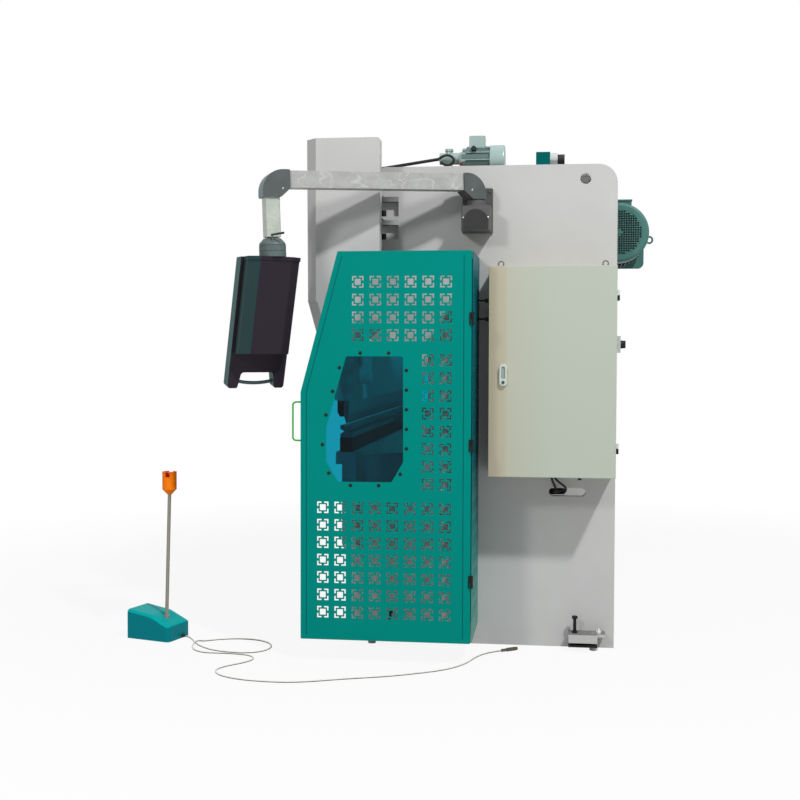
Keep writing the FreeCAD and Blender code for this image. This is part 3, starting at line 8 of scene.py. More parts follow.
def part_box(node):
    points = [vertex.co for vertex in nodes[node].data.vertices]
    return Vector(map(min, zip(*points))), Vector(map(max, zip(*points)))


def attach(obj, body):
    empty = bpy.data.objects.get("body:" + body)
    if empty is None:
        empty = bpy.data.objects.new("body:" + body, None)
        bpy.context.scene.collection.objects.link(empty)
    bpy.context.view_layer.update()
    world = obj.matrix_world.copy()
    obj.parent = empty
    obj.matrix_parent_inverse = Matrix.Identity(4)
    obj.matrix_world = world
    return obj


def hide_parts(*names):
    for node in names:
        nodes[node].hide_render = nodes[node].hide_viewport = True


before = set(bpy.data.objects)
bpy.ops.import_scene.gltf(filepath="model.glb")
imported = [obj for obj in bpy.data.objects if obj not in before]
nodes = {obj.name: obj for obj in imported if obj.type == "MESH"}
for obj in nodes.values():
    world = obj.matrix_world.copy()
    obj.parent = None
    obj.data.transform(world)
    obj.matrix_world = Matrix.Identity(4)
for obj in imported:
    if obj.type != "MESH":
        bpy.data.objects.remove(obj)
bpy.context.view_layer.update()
scene = bpy.context.scene


# Materials


def linear(red, green, blue):
    """A colour given in screen values from 0 to 255, as the shader wants it."""
    out = []
    for value in (red, green, blue):
        v = value / 255
        out.append(v / 12.92 if v <= 0.04045 else ((v + 0.055) / 1.055) ** 2.4)
    return (*out, 1.0)


class Shader:
    """A Principled material built up from procedural nodes in object space."""

    def __init__(self, name, rough=0.5, metal=0.0, shine=0.5):
        self.mat = bpy.data.materials.new(name)
        self.mat.use_nodes = True
        self.tree = self.mat.node_tree
        self.bsdf = self.tree.nodes["Principled BSDF"]
        self.bsdf.inputs["Metallic"].default_value = metal
        self.bsdf.inputs["Roughness"].default_value = rough
        self.bsdf.inputs["Specular IOR Level"].default_value = shine
        self.coords = self.tree.nodes.new("ShaderNodeTexCoord").outputs["Object"]

    def node(self, kind, **settings):
        made = self.tree.nodes.new(kind)
        for key, value in settings.items():
            setattr(made, key, value)
        return made

    def link(self, a, b):
        self.tree.links.new(a, b)

    def noise(self, scale, detail=4.0, rough=0.55, stretch=(1, 1, 1)):
        """Noise between 0 and 1, denser along the axes that stretch makes larger."""
        mapping = self.node("ShaderNodeMapping")
        mapping.inputs["Scale"].default_value = stretch
        self.link(self.coords, mapping.inputs["Vector"])
        tex = self.node("ShaderNodeTexNoise")
        tex.inputs["Scale"].default_value = scale
        tex.inputs["Detail"].default_value = detail
        tex.inputs["Roughness"].default_value = rough
        self.link(mapping.outputs["Vector"], tex.inputs["Vector"])
        return tex.outputs["Fac"]

    def along(self, axis, low, high):
        """From 0 to 1 along one axis of the object, between two places in metres."""
        parts = self.node("ShaderNodeSeparateXYZ")
        self.link(self.coords, parts.inputs[0])
        share = self.node("ShaderNodeMapRange")
        share.inputs["From Min"].default_value = low
        share.inputs["From Max"].default_value = high
        self.link(parts.outputs[axis], share.inputs["Value"])
        return share.outputs["Result"]

    def ramp(self, fac, stops):
        """A colour for each value of fac, from stops of place and colour."""
        made = self.node("ShaderNodeValToRGB")
        ramp = made.color_ramp
        while len(ramp.elements) < len(stops):
            ramp.elements.new(0.5)
        for element, (place, colour) in zip(ramp.elements, stops):
            element.position = place
            element.color = colour
        self.link(fac, made.inputs["Fac"])
        return made.outputs["Color"]

    def colour(self, output):
        self.link(output, self.bsdf.inputs["Base Color"])

    def soft_edges(self, radius):
        """Rounds the shading at sharp edges, as on folded and sprayed sheet."""
        made = self.node("ShaderNodeBevel", samples=4)
        made.inputs["Radius"].default_value = radius
        self.link(made.outputs["Normal"], self.bsdf.inputs["Normal"])

    def bump(self, fac, strength, distance=0.002):
        """Lets fac stand out as relief, on top of the relief that is there."""
        made = self.node("ShaderNodeBump")
        made.inputs["Strength"].default_value = strength
        made.inputs["Distance"].default_value = distance
        self.link(fac, made.inputs["Height"])
        old = self.bsdf.inputs["Normal"]
        if old.is_linked:
            self.link(old.links[0].from_socket, made.inputs["Normal"])
        self.link(made.outputs["Normal"], old)

    def vary_roughness(self, fac, low, high):
        made = self.node("ShaderNodeMapRange")
        made.inputs["To Min"].default_value = low
        made.inputs["To Max"].default_value = high
        self.link(fac, made.inputs["Value"])
        self.link(made.outputs["Result"], self.bsdf.inputs["Roughness"])


def scaled(colour, factor):
    """A colour made lighter or darker."""
    return (*[min(1.0, c * factor) for c in colour[:3]], 1.0)


def paint(name, rgb, rough=0.42, grain=420.0, grain_strength=0.12, cloud=0.05, metal=0.0, shine=0.5):
    """Sprayed paint: slight clouding of the colour and fine orange peel."""
    s = Shader(name, rough, metal, shine)
    base = linear(*rgb)
    clouds = s.noise(2.3, 5.0)
    s.colour(s.ramp(clouds, [(0.3, scaled(base, 1 - cloud)), (0.7, scaled(base, 1 + cloud))]))
    s.soft_edges(0.0022)
    s.bump(s.noise(grain, 2.0), grain_strength, 0.0006)
    s.vary_roughness(s.noise(9.0, 4.0), rough - 0.06, rough + 0.08)
    return s.mat


def brushed(name, rgb, rough=0.34, stretch=(1, 1, 14)):
    """Machined or ground metal with fine marks along one way."""
    s = Shader(name, rough, 1.0)
    base = linear(*rgb)
    marks = s.noise(60.0, 5.0, 0.6, stretch)
    s.colour(s.ramp(marks, [(0.3, scaled(base, 0.82)), (0.7, scaled(base, 1.1))]))
    s.bump(s.noise(180.0, 3.0, 0.6, stretch), 0.15, 0.0004)
    s.vary_roughness(marks, rough - 0.08, rough + 0.12)
    return s.mat


def plastic(name, rgb, rough=0.5, grain=900.0, strength=0.25, shine=0.3):
    """Moulded plastic with a fine grain."""
    s = Shader(name, rough, shine=shine)
    base = linear(*rgb)
    s.colour(s.ramp(s.noise(14.0, 3.0), [(0.3, scaled(base, 0.9)), (0.7, scaled(base, 1.12))]))
    s.bump(s.noise(grain, 2.0), strength, 0.0004)
    return s.mat


def wrap_film(name, dark, middle, light):
    """Pale protective film with slanting crinkles, painted highlight lines along their creases, and
    faint milky patches.
    """
    s = Shader(name, 0.42)
    patches = s.noise(11.0, 5.0, 0.6, (1, 1, 1.6))
    turn = s.node("ShaderNodeMapping")
    turn.inputs["Rotation"].default_value = (math.radians(38.0), 0, 0)
    turn.inputs["Scale"].default_value = (1, 0.55, 1.5)
    s.link(s.coords, turn.inputs["Vector"])
    folds = s.node("ShaderNodeTexNoise")
    folds.inputs["Scale"].default_value = 9.0
    folds.inputs["Detail"].default_value = 1.5
    folds.inputs["Distortion"].default_value = 0.6
    s.link(turn.outputs["Vector"], folds.inputs["Vector"])
    # Painted highlight: a thin pale line along each crease, also used as relief in the bump.
    crease_relief_and_highlight = s.ramp(folds.outputs["Fac"], [(0.485, (0, 0, 0, 1)), (0.505, (1, 1, 1, 1)),
                                            (0.53, (0, 0, 0, 1))])
    film = s.node("ShaderNodeMix", data_type="RGBA")
    s.link(crease_relief_and_highlight, film.inputs["Factor"])
    s.link(s.ramp(patches, [(0.3, linear(*dark)), (0.7, linear(*middle))]), film.inputs["A"])
    film.inputs["B"].default_value = linear(*light)
    s.colour(film.outputs["Result"])
    s.bump(crease_relief_and_highlight, 0.3, 0.002)
    s.bump(s.noise(14.0, 5.0, 0.6, (1, 1, 0.45)), 1.0, 0.014)
    s.bump(s.noise(70.0, 4.0, 0.6, (1, 1, 0.5)), 0.35, 0.002)
    s.vary_roughness(patches, 0.28, 0.6)
    return s.mat


def cord_sheath_painted_shade(name):
    """Pale sheath with painted shade underneath, darker where its surface faces down."""
    s = Shader(name, 0.4, shine=0.3)
    parts = s.node("ShaderNodeSeparateXYZ")
    s.link(s.node("ShaderNodeNewGeometry").outputs["Normal"], parts.inputs[0])
    # Painted shade: the colour darkens as the surface normal turns downwards.
    s.colour(s.ramp(parts.outputs["Z"], [(0.0, linear(88, 80, 70)), (0.25, linear(120, 112, 102)),
                                         (0.5, linear(222, 221, 214))]))
    s.bump(s.noise(300.0, 3.0), 0.15, 0.0003)
    return s.mat


def wall_paint_with_floor_light(name):
    """The guard's paint on its rear wall, paler towards the floor with painted light reflected from it.
    """
    s = Shader(name, 0.4, shine=0.08)
    # Painted reflected light: the teal turns paler towards the floor.
    s.colour(s.ramp(s.along("Z", 0.1, 1.9),
                    [(0.0, linear(86, 148, 134)), (0.22, linear(40, 126, 122)),
                     (0.5, linear(0, 82, 92)), (1.0, linear(0, 96, 106))]))
    s.soft_edges(0.0022)
    s.bump(s.noise(420.0, 2.0), 0.12, 0.0006)
    return s.mat


def cabinet_leaf_with_painted_reflection(name):
    """Door paint with a painted warm reflection that turns it beige towards the edge that holds the
    lock.
    """
    s = Shader(name, 0.5, shine=0.3)
    # Painted warm reflection: a beige band along the lock edge.
    s.colour(s.ramp(s.along("Y", 0.03, 0.34),
                    [(0.0, linear(180, 171, 147)), (0.27, linear(182, 176, 153)),
                     (0.33, linear(183, 184, 167)), (1.0, linear(178, 187, 174))]))
    s.soft_edges(0.0025)
    s.bump(s.noise(260.0, 2.0), 0.3, 0.0006)
    return s.mat


def tinted_sheet(name):
    """Blue-green see-through sheet."""
    s = Shader(name, 0.03)
    s.bsdf.inputs["Base Color"].default_value = (0.001, 0.28, 0.40, 1.0)
    s.bsdf.inputs["Specular IOR Level"].default_value = 0.05
    s.bsdf.inputs["Transmission Weight"].default_value = 1.0
    s.bsdf.inputs["IOR"].default_value = 1.2
    s.bump(s.noise(3.0, 2.0), 0.04, 0.001)
    return s.mat


# Every finish by a short key

mats = {
    "frame": paint("frame_grey", (189, 189, 188), 0.46, shine=0.3),
    "frame_dark": paint("frame_inside", (118, 119, 119), 0.55),
    # Painted light: the sockets' walls are far paler than the frame, to brighten their shade.
    "socket": paint("socket_painted_light", (240, 240, 238), 0.6, shine=0.1),
    "foot": paint("foot_pale", (182, 182, 180), 0.45),
    "foot_top": paint("foot_top", (112, 112, 110), 0.5),
    "white": paint("fitting_white", (222, 224, 220), 0.4),
    "seam": paint("guard_seam", (0, 84, 88), 0.5, shine=0.1),
    "guard": paint("guard_teal", (0, 133, 123), 0.45, cloud=0.03, shine=0.03),
    "guard_wall": wall_paint_with_floor_light("guard_wall_teal"),
    "glass": tinted_sheet("window_tint"),
    "handle": paint("handle_green", (18, 166, 44), 0.3, shine=0.2),
    "black": paint("black_steel", (20, 20, 21), 0.5, shine=0.2),
    "tool": brushed("ground_steel", (150, 156, 160), 0.35, (14, 1, 1)),
    "chrome": brushed("rod_chrome", (215, 217, 220), 0.12, (1, 1, 20)),
    "cabinet_door": cabinet_leaf_with_painted_reflection("cabinet_door_painted_reflection"),
    "cabinet_side": paint("cabinet_beige", (182, 176, 154), 0.5, 260.0, 0.3, 0.02),
    "plastic": plastic("black_plastic", (20, 21, 22)),
    # The last colour of each film is its painted crease highlight.
    "film": wrap_film("wrapped_film", (154, 155, 153), (169, 170, 168), (181, 182, 180)),
    "film_tube": wrap_film("wrapped_tube_film", (168, 175, 165), (179, 186, 175), (186, 192, 182)),
    "elbow": plastic("elbow_grey", (102, 120, 120), 0.5),
    "elbow_face": plastic("elbow_side_face", (76, 81, 81), 0.5),
    "elbow_dark": plastic("elbow_dark", (84, 84, 84), 0.5),
    "cover": plastic("cover_dark", (40, 40, 41), 0.5),
    "coupling": plastic("coupling_grey", (84, 98, 97), 0.5),
    "pendant": paint("pendant_black", (44, 36, 46), 0.45, 700.0, 0.2, shine=0.15),
    # Teal painted highlight for the pendant bezel, also the colour of the lock's key cylinder.
    "pendant_sheen_and_lock_key": paint("pendant_sheen_and_lock_key", (44, 88, 86), 0.4, 700.0, 0.2, shine=0.12),
    # Painted reflection: a green tint for some faces of the pendant's housing.
    "pendant_panel": paint("pendant_reflection_green", (32, 58, 58), 0.45, 700.0, 0.2, shine=0.2),
    "grip": paint("grip_dark", (64, 84, 84), 0.3, metal=0.6),
    "screen": plastic("screen_black", (12, 13, 16), 0.12, 400.0, 0.02),
    "motor": paint("motor_green", (66, 113, 107), 0.48, shine=0.3),
    "motor_dark": paint("motor_fin_green", (44, 88, 84), 0.5, shine=0.2),
    # Painted shade for the grooves between the small motor's fins.
    "top_motor_groove_shade": paint("top_motor_painted_groove_shade", (74, 96, 94), 0.5),
    "top_motor": paint("top_motor_silver", (146, 168, 164), 0.35, metal=0.3),
    "valve": paint("valve_green", (0, 92, 92), 0.5, shine=0.04),
    "pedal": paint("pedal_teal", (0, 124, 134), 0.3, cloud=0.03, shine=0.06),
    # Painted highlight: a lighter copy of the pedal teal for the hood's upward faces.
    "pedal_top_highlight": paint("pedal_top_highlight", (8, 160, 160), 0.3, cloud=0.03, shine=0.02),
    "pole": paint("pole_beige", (140, 136, 124), 0.4),
    "orange": plastic("stop_orange", (255, 124, 0), 0.45, 500.0, 0.03, 0.15),
    "red": plastic("stop_red", (196, 22, 20), 0.3, 500.0, 0.05),
    # The cord's sheath carries painted shade on its underside.
    "cord": cord_sheath_painted_shade("cord_sheath_painted_shade"),
    "lock_inset": paint("lock_inset", (140, 158, 152), 0.4),
    "lock_rim": paint("lock_rim", (196, 204, 197), 0.35),
    "gunmetal": brushed("connector_metal", (98, 92, 80), 0.35, (1, 1, 1)),
    "steel": brushed("zinc_steel", (170, 172, 172), 0.3),
    "silver": brushed("lock_silver", (186, 190, 190), 0.28, (1, 6, 1)),
}

# The finish of every CAD node

dress = {
    "side_frame_right": "frame", "side_frame_left": "frame", "bed_beam": "frame",
    "oil_tank": "frame", "rear_beam": "frame", "ram_beam": "frame", "ram_end_covers": "frame",
    "ram_front_cover": "frame", "cylinder_right": "frame_dark", "cylinder_left": "frame_dark",
    "guard_wall_right": "guard", "guard_wall_left": "guard", "guard_door_right": "guard",
    "guard_door_left": "guard", "guard_window_right": "glass", "guard_window_left": "glass",
    "guard_handle_right": "handle", "guard_handle_left": "handle", "guard_hinges_right": "black",
    "guard_hinges_left": "black", "hinge_pins": "black", "die_holder": "black",
    "levelling_feet": "foot", "lower_die": "tool", "punches": "tool", "punch_clamps": "black",
    "ram_guides": "steel", "cylinder_rods": "chrome", "jack_screws": "black",
    "back_gauge": "steel", "cabinet_lock": "lock_rim", "cabinet_box": "cabinet_side",
    "cabinet_door": "cabinet_door", "cabinet_fittings": "plastic", "switch_body": "silver",
    "switch_knob": "plastic", "motor_fittings": "motor", "pedal_treadle": "plastic",
    "top_conduit": "plastic", "cord_connector": "gunmetal", "pedal_cord": "cord",
    "arm_beam": "film", "drop_tube": "film_tube", "pendant_coupling": "coupling",
    "pendant_grip": "grip", "arm_elbows": "elbow", "arm_bracket": "elbow_dark",
    "pendant_housing": "pendant", "pendant_bezel": "pendant", "pendant_panel": "screen",
    "main_motor": "motor", "motor_cowl": "motor", "motor_mount": "motor",
    "top_motor": "top_motor", "valve_block": "valve", "pedal_hood": "pedal",
    "pedal_pole": "pole", "stop_head": "orange", "stop_button": "red",
}
for name, key in dress.items():
    mesh = nodes[name].data
    mesh.materials.clear()
    mesh.materials.append(mats[key])


def retint(name, key, test):
    """Gives a second finish to the faces of a node that the test picks by centre and normal."""
    mesh = nodes[name].data
    mesh.materials.append(mats[key])
    index = len(mesh.materials) - 1
    for face in mesh.polygons:
        if test(face.center, face.normal):
            face.material_index = index


# Second finishes on some faces of a node

# How far a normal has to lean to count
FACING = 0.9
SQUARE_ON = 0.95
SIDEWAYS = 0.7
FOOT_TOP_TILT = 0.6
HOOD_TOP_TILT = 0.35

# How near to a front a face still counts as part of it
SKIN = 0.003

# The arm, its bracket and its elbows
bracket_low, bracket_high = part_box("arm_bracket")
ARM_TURN = math.radians(27.0)
ARM_SIDE = Vector((math.cos(ARM_TURN), math.sin(ARM_TURN), 0))
ARM_ALONG = Vector((math.sin(ARM_TURN), -math.cos(ARM_TURN), 0))
INNER_ELBOW_Y = -0.4
LEVER_Z = 1.984

# The lifting sockets of the side plates
PLATE_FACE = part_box("side_frame_right")[1][0]
SOCKET_DEPTH = 0.001
SOCKET_Y = 0.495
SOCKET_Z = 2.309
SOCKET_REACH = 0.045

# The cabinet's lifting hooks, just above its top, and its lock
cabinet_low, cabinet_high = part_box("cabinet_box")
HOOK_Z = cabinet_high[2] + 0.002
LOCK_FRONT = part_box("cabinet_lock")[1][0]
LOCK_Y = 0.110
LOCK_RECESS_HALF = 0.0095
LOCK_RECESS_Z = (1.330, 1.392)
LOCK_KEY_Z = 1.316
LOCK_KEY_RADIUS = 0.008
LOCK_KEY_DEPTH = 0.0042

# The valve's coil and knob
COIL_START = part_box("valve_block")[0][1] + 0.049
VALVE_KNOB_Y = 0.357

# The pockets of the ram guides, and the depth and height of a bolt in them
POCKET_MOUTH = -0.517
POCKET_FLOORS = (2.135, 2.020)
GUIDE_BOLT = (0.026, 0.031)

# The recess of the main motor's cowl, and the fins of the small motor
cowl_low, cowl_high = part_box("motor_cowl")
COWL_FRONT = cowl_high[0]
COWL_Y = (cowl_low[1] + cowl_high[1]) / 2
COWL_Z = (cowl_low[2] + cowl_high[2]) / 2
COWL_RECESS = 0.004
top_motor_low, top_motor_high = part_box("top_motor")
TOP_MOTOR_X = (top_motor_low[0] + top_motor_high[0]) / 2
TOP_MOTOR_Z = 2.4245
TOP_MOTOR_FINS = (-0.085, 0.045)
TOP_MOTOR_CORE = 0.0735


def in_socket(c, n):
    """The walls and floor of the round lifting socket in a side plate."""
    below_face = abs(c.x) < PLATE_FACE - SOCKET_DEPTH
    return below_face and math.hypot(c.y - SOCKET_Y, c.z - SOCKET_Z) < SOCKET_REACH


def in_lock_recess(c, n):
    """The long recess of the lock, without the front around it."""
    low, high = LOCK_RECESS_Z
    on_front = n.x > FACING and c.x > LOCK_FRONT - SKIN
    return abs(c.y - LOCK_Y) < LOCK_RECESS_HALF and low < c.z < high and not on_front


def on_lock_key(c, n):
    """The round key cylinder below the recess."""
    near_front = c.x > LOCK_FRONT - LOCK_KEY_DEPTH
    return near_front and math.hypot(c.y - LOCK_Y, c.z - LOCK_KEY_Z) < LOCK_KEY_RADIUS


def on_guide_bolt(c, n):
    """The black bolts in the pockets of the ram guides."""
    in_mouth = 0 <= c.y - POCKET_MOUTH <= GUIDE_BOLT[0]
    return in_mouth and any(0 <= c.z - floor <= GUIDE_BOLT[1] for floor in POCKET_FLOORS)


def between_fins(c, n):
    """The grooves between the small motor's fins, which get painted shade."""
    first, last = TOP_MOTOR_FINS
    return first < c.y < last and math.hypot(c.x - TOP_MOTOR_X, c.z - TOP_MOTOR_Z) < TOP_MOTOR_CORE


retint("arm_bracket", "cover", lambda c, n: n.x > FACING and c.x > bracket_high[0] - SKIN)
retint("arm_elbows", "elbow_dark", lambda c, n: c.y > INNER_ELBOW_Y)
retint("arm_elbows", "elbow_face", lambda c, n: abs(n.dot(ARM_SIDE)) > SQUARE_ON)
retint("pendant_coupling", "cover", lambda c, n: c.z > LEVER_Z)
# Painted highlight: the bezel's sides and top turn teal.
retint("pendant_bezel", "pendant_sheen_and_lock_key", lambda c, n: abs(n.y) > SIDEWAYS or n.z > FACING)
# Painted reflection: the housing's faces turned towards +X and -Y get a green tint.
retint("pendant_housing", "pendant_panel", lambda c, n: n.x > FACING or n.y < -SIDEWAYS)
retint("cabinet_fittings", "foot_top", lambda c, n: c.z > HOOK_Z)
retint("cabinet_lock", "lock_inset", in_lock_recess)
retint("cabinet_lock", "pendant_sheen_and_lock_key", on_lock_key)
retint("levelling_feet", "foot_top", lambda c, n: n.z > FOOT_TOP_TILT)
# Painted highlight on the upward faces of the pedal's hood.
retint("pedal_hood", "pedal_top_highlight", lambda c, n: n.z > HOOD_TOP_TILT)
retint("valve_block", "silver", lambda c, n: c.y > COIL_START)
retint("valve_block", "plastic", lambda c, n: c.y > VALVE_KNOB_Y)
retint("ram_guides", "black", on_guide_bolt)
# Painted light on the walls and floor of the lifting sockets.
retint("side_frame_right", "socket", in_socket)
retint("side_frame_left", "socket", in_socket)
# Painted shade in the grooves between the small motor's fins.
retint("top_motor", "top_motor_groove_shade", between_fins)
retint("motor_cowl", "black", lambda c, n: n.x > FACING and c.x < COWL_FRONT - COWL_RECESS)


# Mesh helpers

# Faces of a slab whose eight corners are made by three nested loops of two
SLAB_FACES = [(0, 1, 3, 2), (4, 6, 7, 5), (0, 4, 5, 1), (2, 3, 7, 6), (0, 2, 6, 4), (1, 5, 7, 3)]


def placed(name, mesh, body, key):
    """Puts a mesh in the scene as a piece that rides on a body."""
    mesh.materials.append(mats[key])
    obj = bpy.data.objects.new(name, mesh)
    scene.collection.objects.link(obj)
    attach(obj, body)
    return obj


def piece(name, verts, faces, body, key, smooth=False):
    """A piece from lists of verts and faces."""
    mesh = bpy.data.meshes.new(name)
    mesh.from_pydata([tuple(v) for v in verts], [], faces)
    mesh.update()
    if smooth:
        mesh.shade_smooth()
    return placed(name, mesh, body, key)


def gathered(parts):
    """Several vert and face lists as one."""
    verts, faces = [], []
    for more_verts, more_faces in parts:
        start = len(verts)
        verts += more_verts
        faces += [tuple(start + i for i in face) for face in more_faces]
    return verts, faces


def add_to_mesh(mesh, parts):
    """Adds lists of verts and faces to a mesh that is there already."""
    bm = bmesh.new()
    bm.from_mesh(mesh)
    for verts, faces in parts:
        made = [bm.verts.new(v) for v in verts]
        for face in faces:
            bm.faces.new([made[i] for i in face])
    bmesh.ops.recalc_face_normals(bm, faces=bm.faces)
    bm.to_mesh(mesh)
    bm.free()


def square(u, v, half):
    """The corners of a square round the point u, v."""
    return [(u - half, v - half), (u + half, v - half), (u + half, v + half), (u - half, v + half)]


def circle(u, v, radius, sides):
    """Points on a circle round the point u, v."""
    turns = [2 * math.pi * i / sides for i in range(sides)]
    return [(u + radius * math.cos(a), v + radius * math.sin(a)) for a in turns]


def rounded(points, radius, steps=4):
    """The same outline with an arc at each corner."""
    out = []
    count = len(points)
    for i, corner in enumerate(points):
        here = Vector(corner)
        before = (Vector(points[i - 1]) - here).normalized()
        after = (Vector(points[(i + 1) % count]) - here).normalized()
        half = before.angle(after) / 2
        reach = radius / math.tan(half)
        centre = here + (before + after).normalized() * (radius / math.sin(half))
        start = here + before * reach - centre
        turn = math.pi - 2 * half
        if before.cross(after) > 0:
            turn = -turn
        for step in range(steps + 1):
            a = turn * step / steps
            out.append((centre.x + start.x * math.cos(a) - start.y * math.sin(a),
                        centre.y + start.x * math.sin(a) + start.y * math.cos(a)))
    return out


def outward(points, i):
    """The direction away from the inside of an outline, at its edge i."""
    a = Vector(points[i])
    b = Vector(points[(i + 1) % len(points)])
    normal = Vector((b.y - a.y, a.x - b.x)).normalized()
    middle = sum((Vector(p) for p in points), Vector((0, 0))) / len(points)
    return normal if normal.dot((a + b) / 2 - middle) > 0 else -normal


def punched_sheet(outline, holes, place, thickness):
    """A flat sheet with holes: place maps its plane to space, thickness is a vector."""
    bm = bmesh.new()
    edges = []
    for loop in [outline] + holes:
        ring = [bm.verts.new(place(u, v)) for u, v in loop]
        edges += [bm.edges.new((a, b)) for a, b in zip(ring, ring[1:] + ring[:1])]
    bmesh.ops.triangle_fill(bm, use_beauty=True, use_dissolve=False, edges=edges)
    faces = list(bm.faces)
    made = bmesh.ops.extrude_face_region(bm, geom=faces)
    moved = [item for item in made["geom"] if isinstance(item, bmesh.types.BMVert)]
    bmesh.ops.translate(bm, vec=thickness, verts=moved)
    bmesh.ops.recalc_face_normals(bm, faces=bm.faces)
    mesh = bpy.data.meshes.new("sheet")
    bm.to_mesh(mesh)
    bm.free()
    return mesh


def box_faces(low, high):
    """An upright box between two corners."""
    x0, y0, z0 = low
    x1, y1, z1 = high
    verts = [(x0, y0, z0), (x1, y0, z0), (x1, y1, z0), (x0, y1, z0),
             (x0, y0, z1), (x1, y0, z1), (x1, y1, z1), (x0, y1, z1)]
    faces = [(0, 3, 2, 1), (4, 5, 6, 7), (0, 1, 5, 4), (1, 2, 6, 5), (2, 3, 7, 6), (3, 0, 4, 7)]
    return verts, faces


def turned_profile(profile, base, axis, sides):
    """A solid of revolution: profile gives (distance along the axis, radius) from end to end."""
    axis = Vector(axis).normalized()
    first = axis.orthogonal().normalized()
    second = axis.cross(first)
    verts = []
    for along, radius in profile:
        centre = Vector(base) + axis * along
        verts += [centre + first * u + second * v for u, v in circle(0, 0, radius, sides)]
    faces = []
    for start in range(0, (len(profile) - 1) * sides, sides):
        for i in range(sides):
            k = (i + 1) % sides
            faces.append((start + i, start + k, start + sides + k, start + sides + i))
    faces.append(tuple(reversed(range(sides))))
    faces.append(tuple(range((len(profile) - 1) * sides, len(profile) * sides)))
    return verts, faces


def button_head(place, axis, radius, height):
    """A low domed screw head."""
    dome = [(0, radius), (height * 0.45, radius * 0.93), (height * 0.8, radius * 0.65),
            (height, radius * 0.25)]
    return turned_profile(dome, place, axis, 14)


def round_curve(name, points, radius, ring_steps, run_steps):
    """A capped curve of one radius along a smooth line through control points."""
    data = bpy.data.curves.new(name, "CURVE")
    data.dimensions = "3D"
    spline = data.splines.new("NURBS")
    spline.points.add(len(points) - 1)
    for point, place in zip(spline.points, points):
        point.co = (*place, 1.0)
    spline.order_u = 3
    spline.use_endpoint_u = True
    data.bevel_depth = radius
    data.bevel_resolution = ring_steps
    data.resolution_u = run_steps
    data.use_fill_caps = True
    return data


# The free cord, with the route's own points

CORD_RADIUS = 0.0035
cord_points = [
    (1.4833, -1.5222, 0.012), (1.4945, -1.486, 0.011), (1.552, -1.445, 0.006), (1.625, -1.404, 0.0038),
    (1.687, -1.348, 0.0038), (1.735, -1.281, 0.0038), (1.757, -1.201, 0.0038),
    (1.764, -1.118, 0.0038), (1.724, -1.047, 0.0038), (1.646, -1.019, 0.0038),
    (1.567, -1.041, 0.0038), (1.506, -1.097, 0.0038), (1.480, -1.175, 0.0038),
    (1.482, -1.258, 0.0038), (1.514, -1.335, 0.0038), (1.556, -1.390, 0.0038),
    (1.598, -1.405, 0.017), (1.646, -1.413, 0.017), (1.696, -1.407, 0.0038),
    (1.745, -1.378, 0.0038), (1.784, -1.322, 0.0038), (1.781, -1.246, 0.0038),
    (1.785, -1.163, 0.0038), (1.805, -1.084, 0.0038), (1.873, -1.046, 0.0038),
    (1.947, -1.083, 0.0038), (2.006, -1.141, 0.0038), (2.078, -1.179, 0.0038),
    (2.155, -1.155, 0.0038), (2.207, -1.090, 0.0038), (2.237, -1.012, 0.0038),
    (2.250, -0.930, 0.0038), (2.254, -0.847, 0.0038), (2.243, -0.765, 0.0038),
    (2.215, -0.686, 0.0038), (2.180, -0.610, 0.0038), (2.148, -0.533, 0.0038),
    (2.120, -0.455, 0.0038), (2.089, -0.378, 0.0038), (2.051, -0.304, 0.0038),
    (2.008, -0.232, 0.0038), (1.962, -0.162, 0.0038), (1.904, -0.103, 0.0038),
    (1.834, -0.059, 0.0038), (1.755, -0.031, 0.0038), (1.676, -0.004, 0.006),
    (1.610, 0.045, 0.0093), (1.566, 0.104, 0.0093)]


def make_cord():
    """The loose cord from the pedal's gland to its connector."""
    data = round_curve("pedal_cord_soft", cord_points, CORD_RADIUS, 4, 6)
    data.materials.append(mats["cord"])
    obj = bpy.data.objects.new("pedal_cord_soft", data)
    scene.collection.objects.link(obj)
    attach(obj, "frame")
    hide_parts("pedal_cord")


make_cord()


# Guard panels with the full pattern of squares and corner slots

door_low, door_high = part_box("guard_door_right")
wall_low, wall_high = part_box("guard_wall_right")
GUARD_X = door_high[0]
DOOR_FLANGE = door_high[0] - door_low[0]
DOOR_SHEET = 0.0025
SLANT_TOP_Y = -0.652
SLANT_LOW_Z = 1.269
OUTLINE = [(door_high[1], door_low[2]), (door_high[1], door_high[2]), (SLANT_TOP_Y, door_high[2]),
           (door_low[1], SLANT_LOW_Z), (door_low[1], door_low[2])]
WINDOW = [(-0.613, 1.437), (-0.346, 1.437), (-0.344, 0.945), (-0.398, 0.852),
          (-0.652, 0.850), (-0.709, 0.947), (-0.709, 1.102)]
WINDOW_CORNER = 0.012
WALL_SHEET = 0.003

# The pattern: top row's height, rows and columns of each block, and half sizes of one motif
PITCH = 0.0823
FIRST_Y = -0.147
BLOCKS = ((1.783, 4, 6), (1.420, 8, 2), (0.729, 7, 8))
WALL_FIRST_X = 1.772
WALL_COLUMNS = 4
SQUARE_HALF = 0.0140
SLOT_OUT = 0.0272
SLOT_IN = 0.0205
SLOT_END = 0.0060

# Bolts around the window: how many on each edge, and the share of it left free at its ends
WINDOW_BOLTS = ((2, 0.25), (5, 0.13), (1, 0.5), (2, 0.24), (1, 0.5), (1, 0.5), (3, 0.17))
BOLT_OUT = 0.016
BOLT_RADIUS = 0.0085
BOLT_HEIGHT = 0.004

# Seams: how far they lie inside the outline, how wide they are and how far they stand out
SEAM_REAR = 0.033
SEAM_ENDS = 0.0198
SEAM_FRONT = 0.02475
SEAM_PEAK = 0.01815
SEAM_WIDTH = 0.0036
SEAM_PROUD = 0.0003


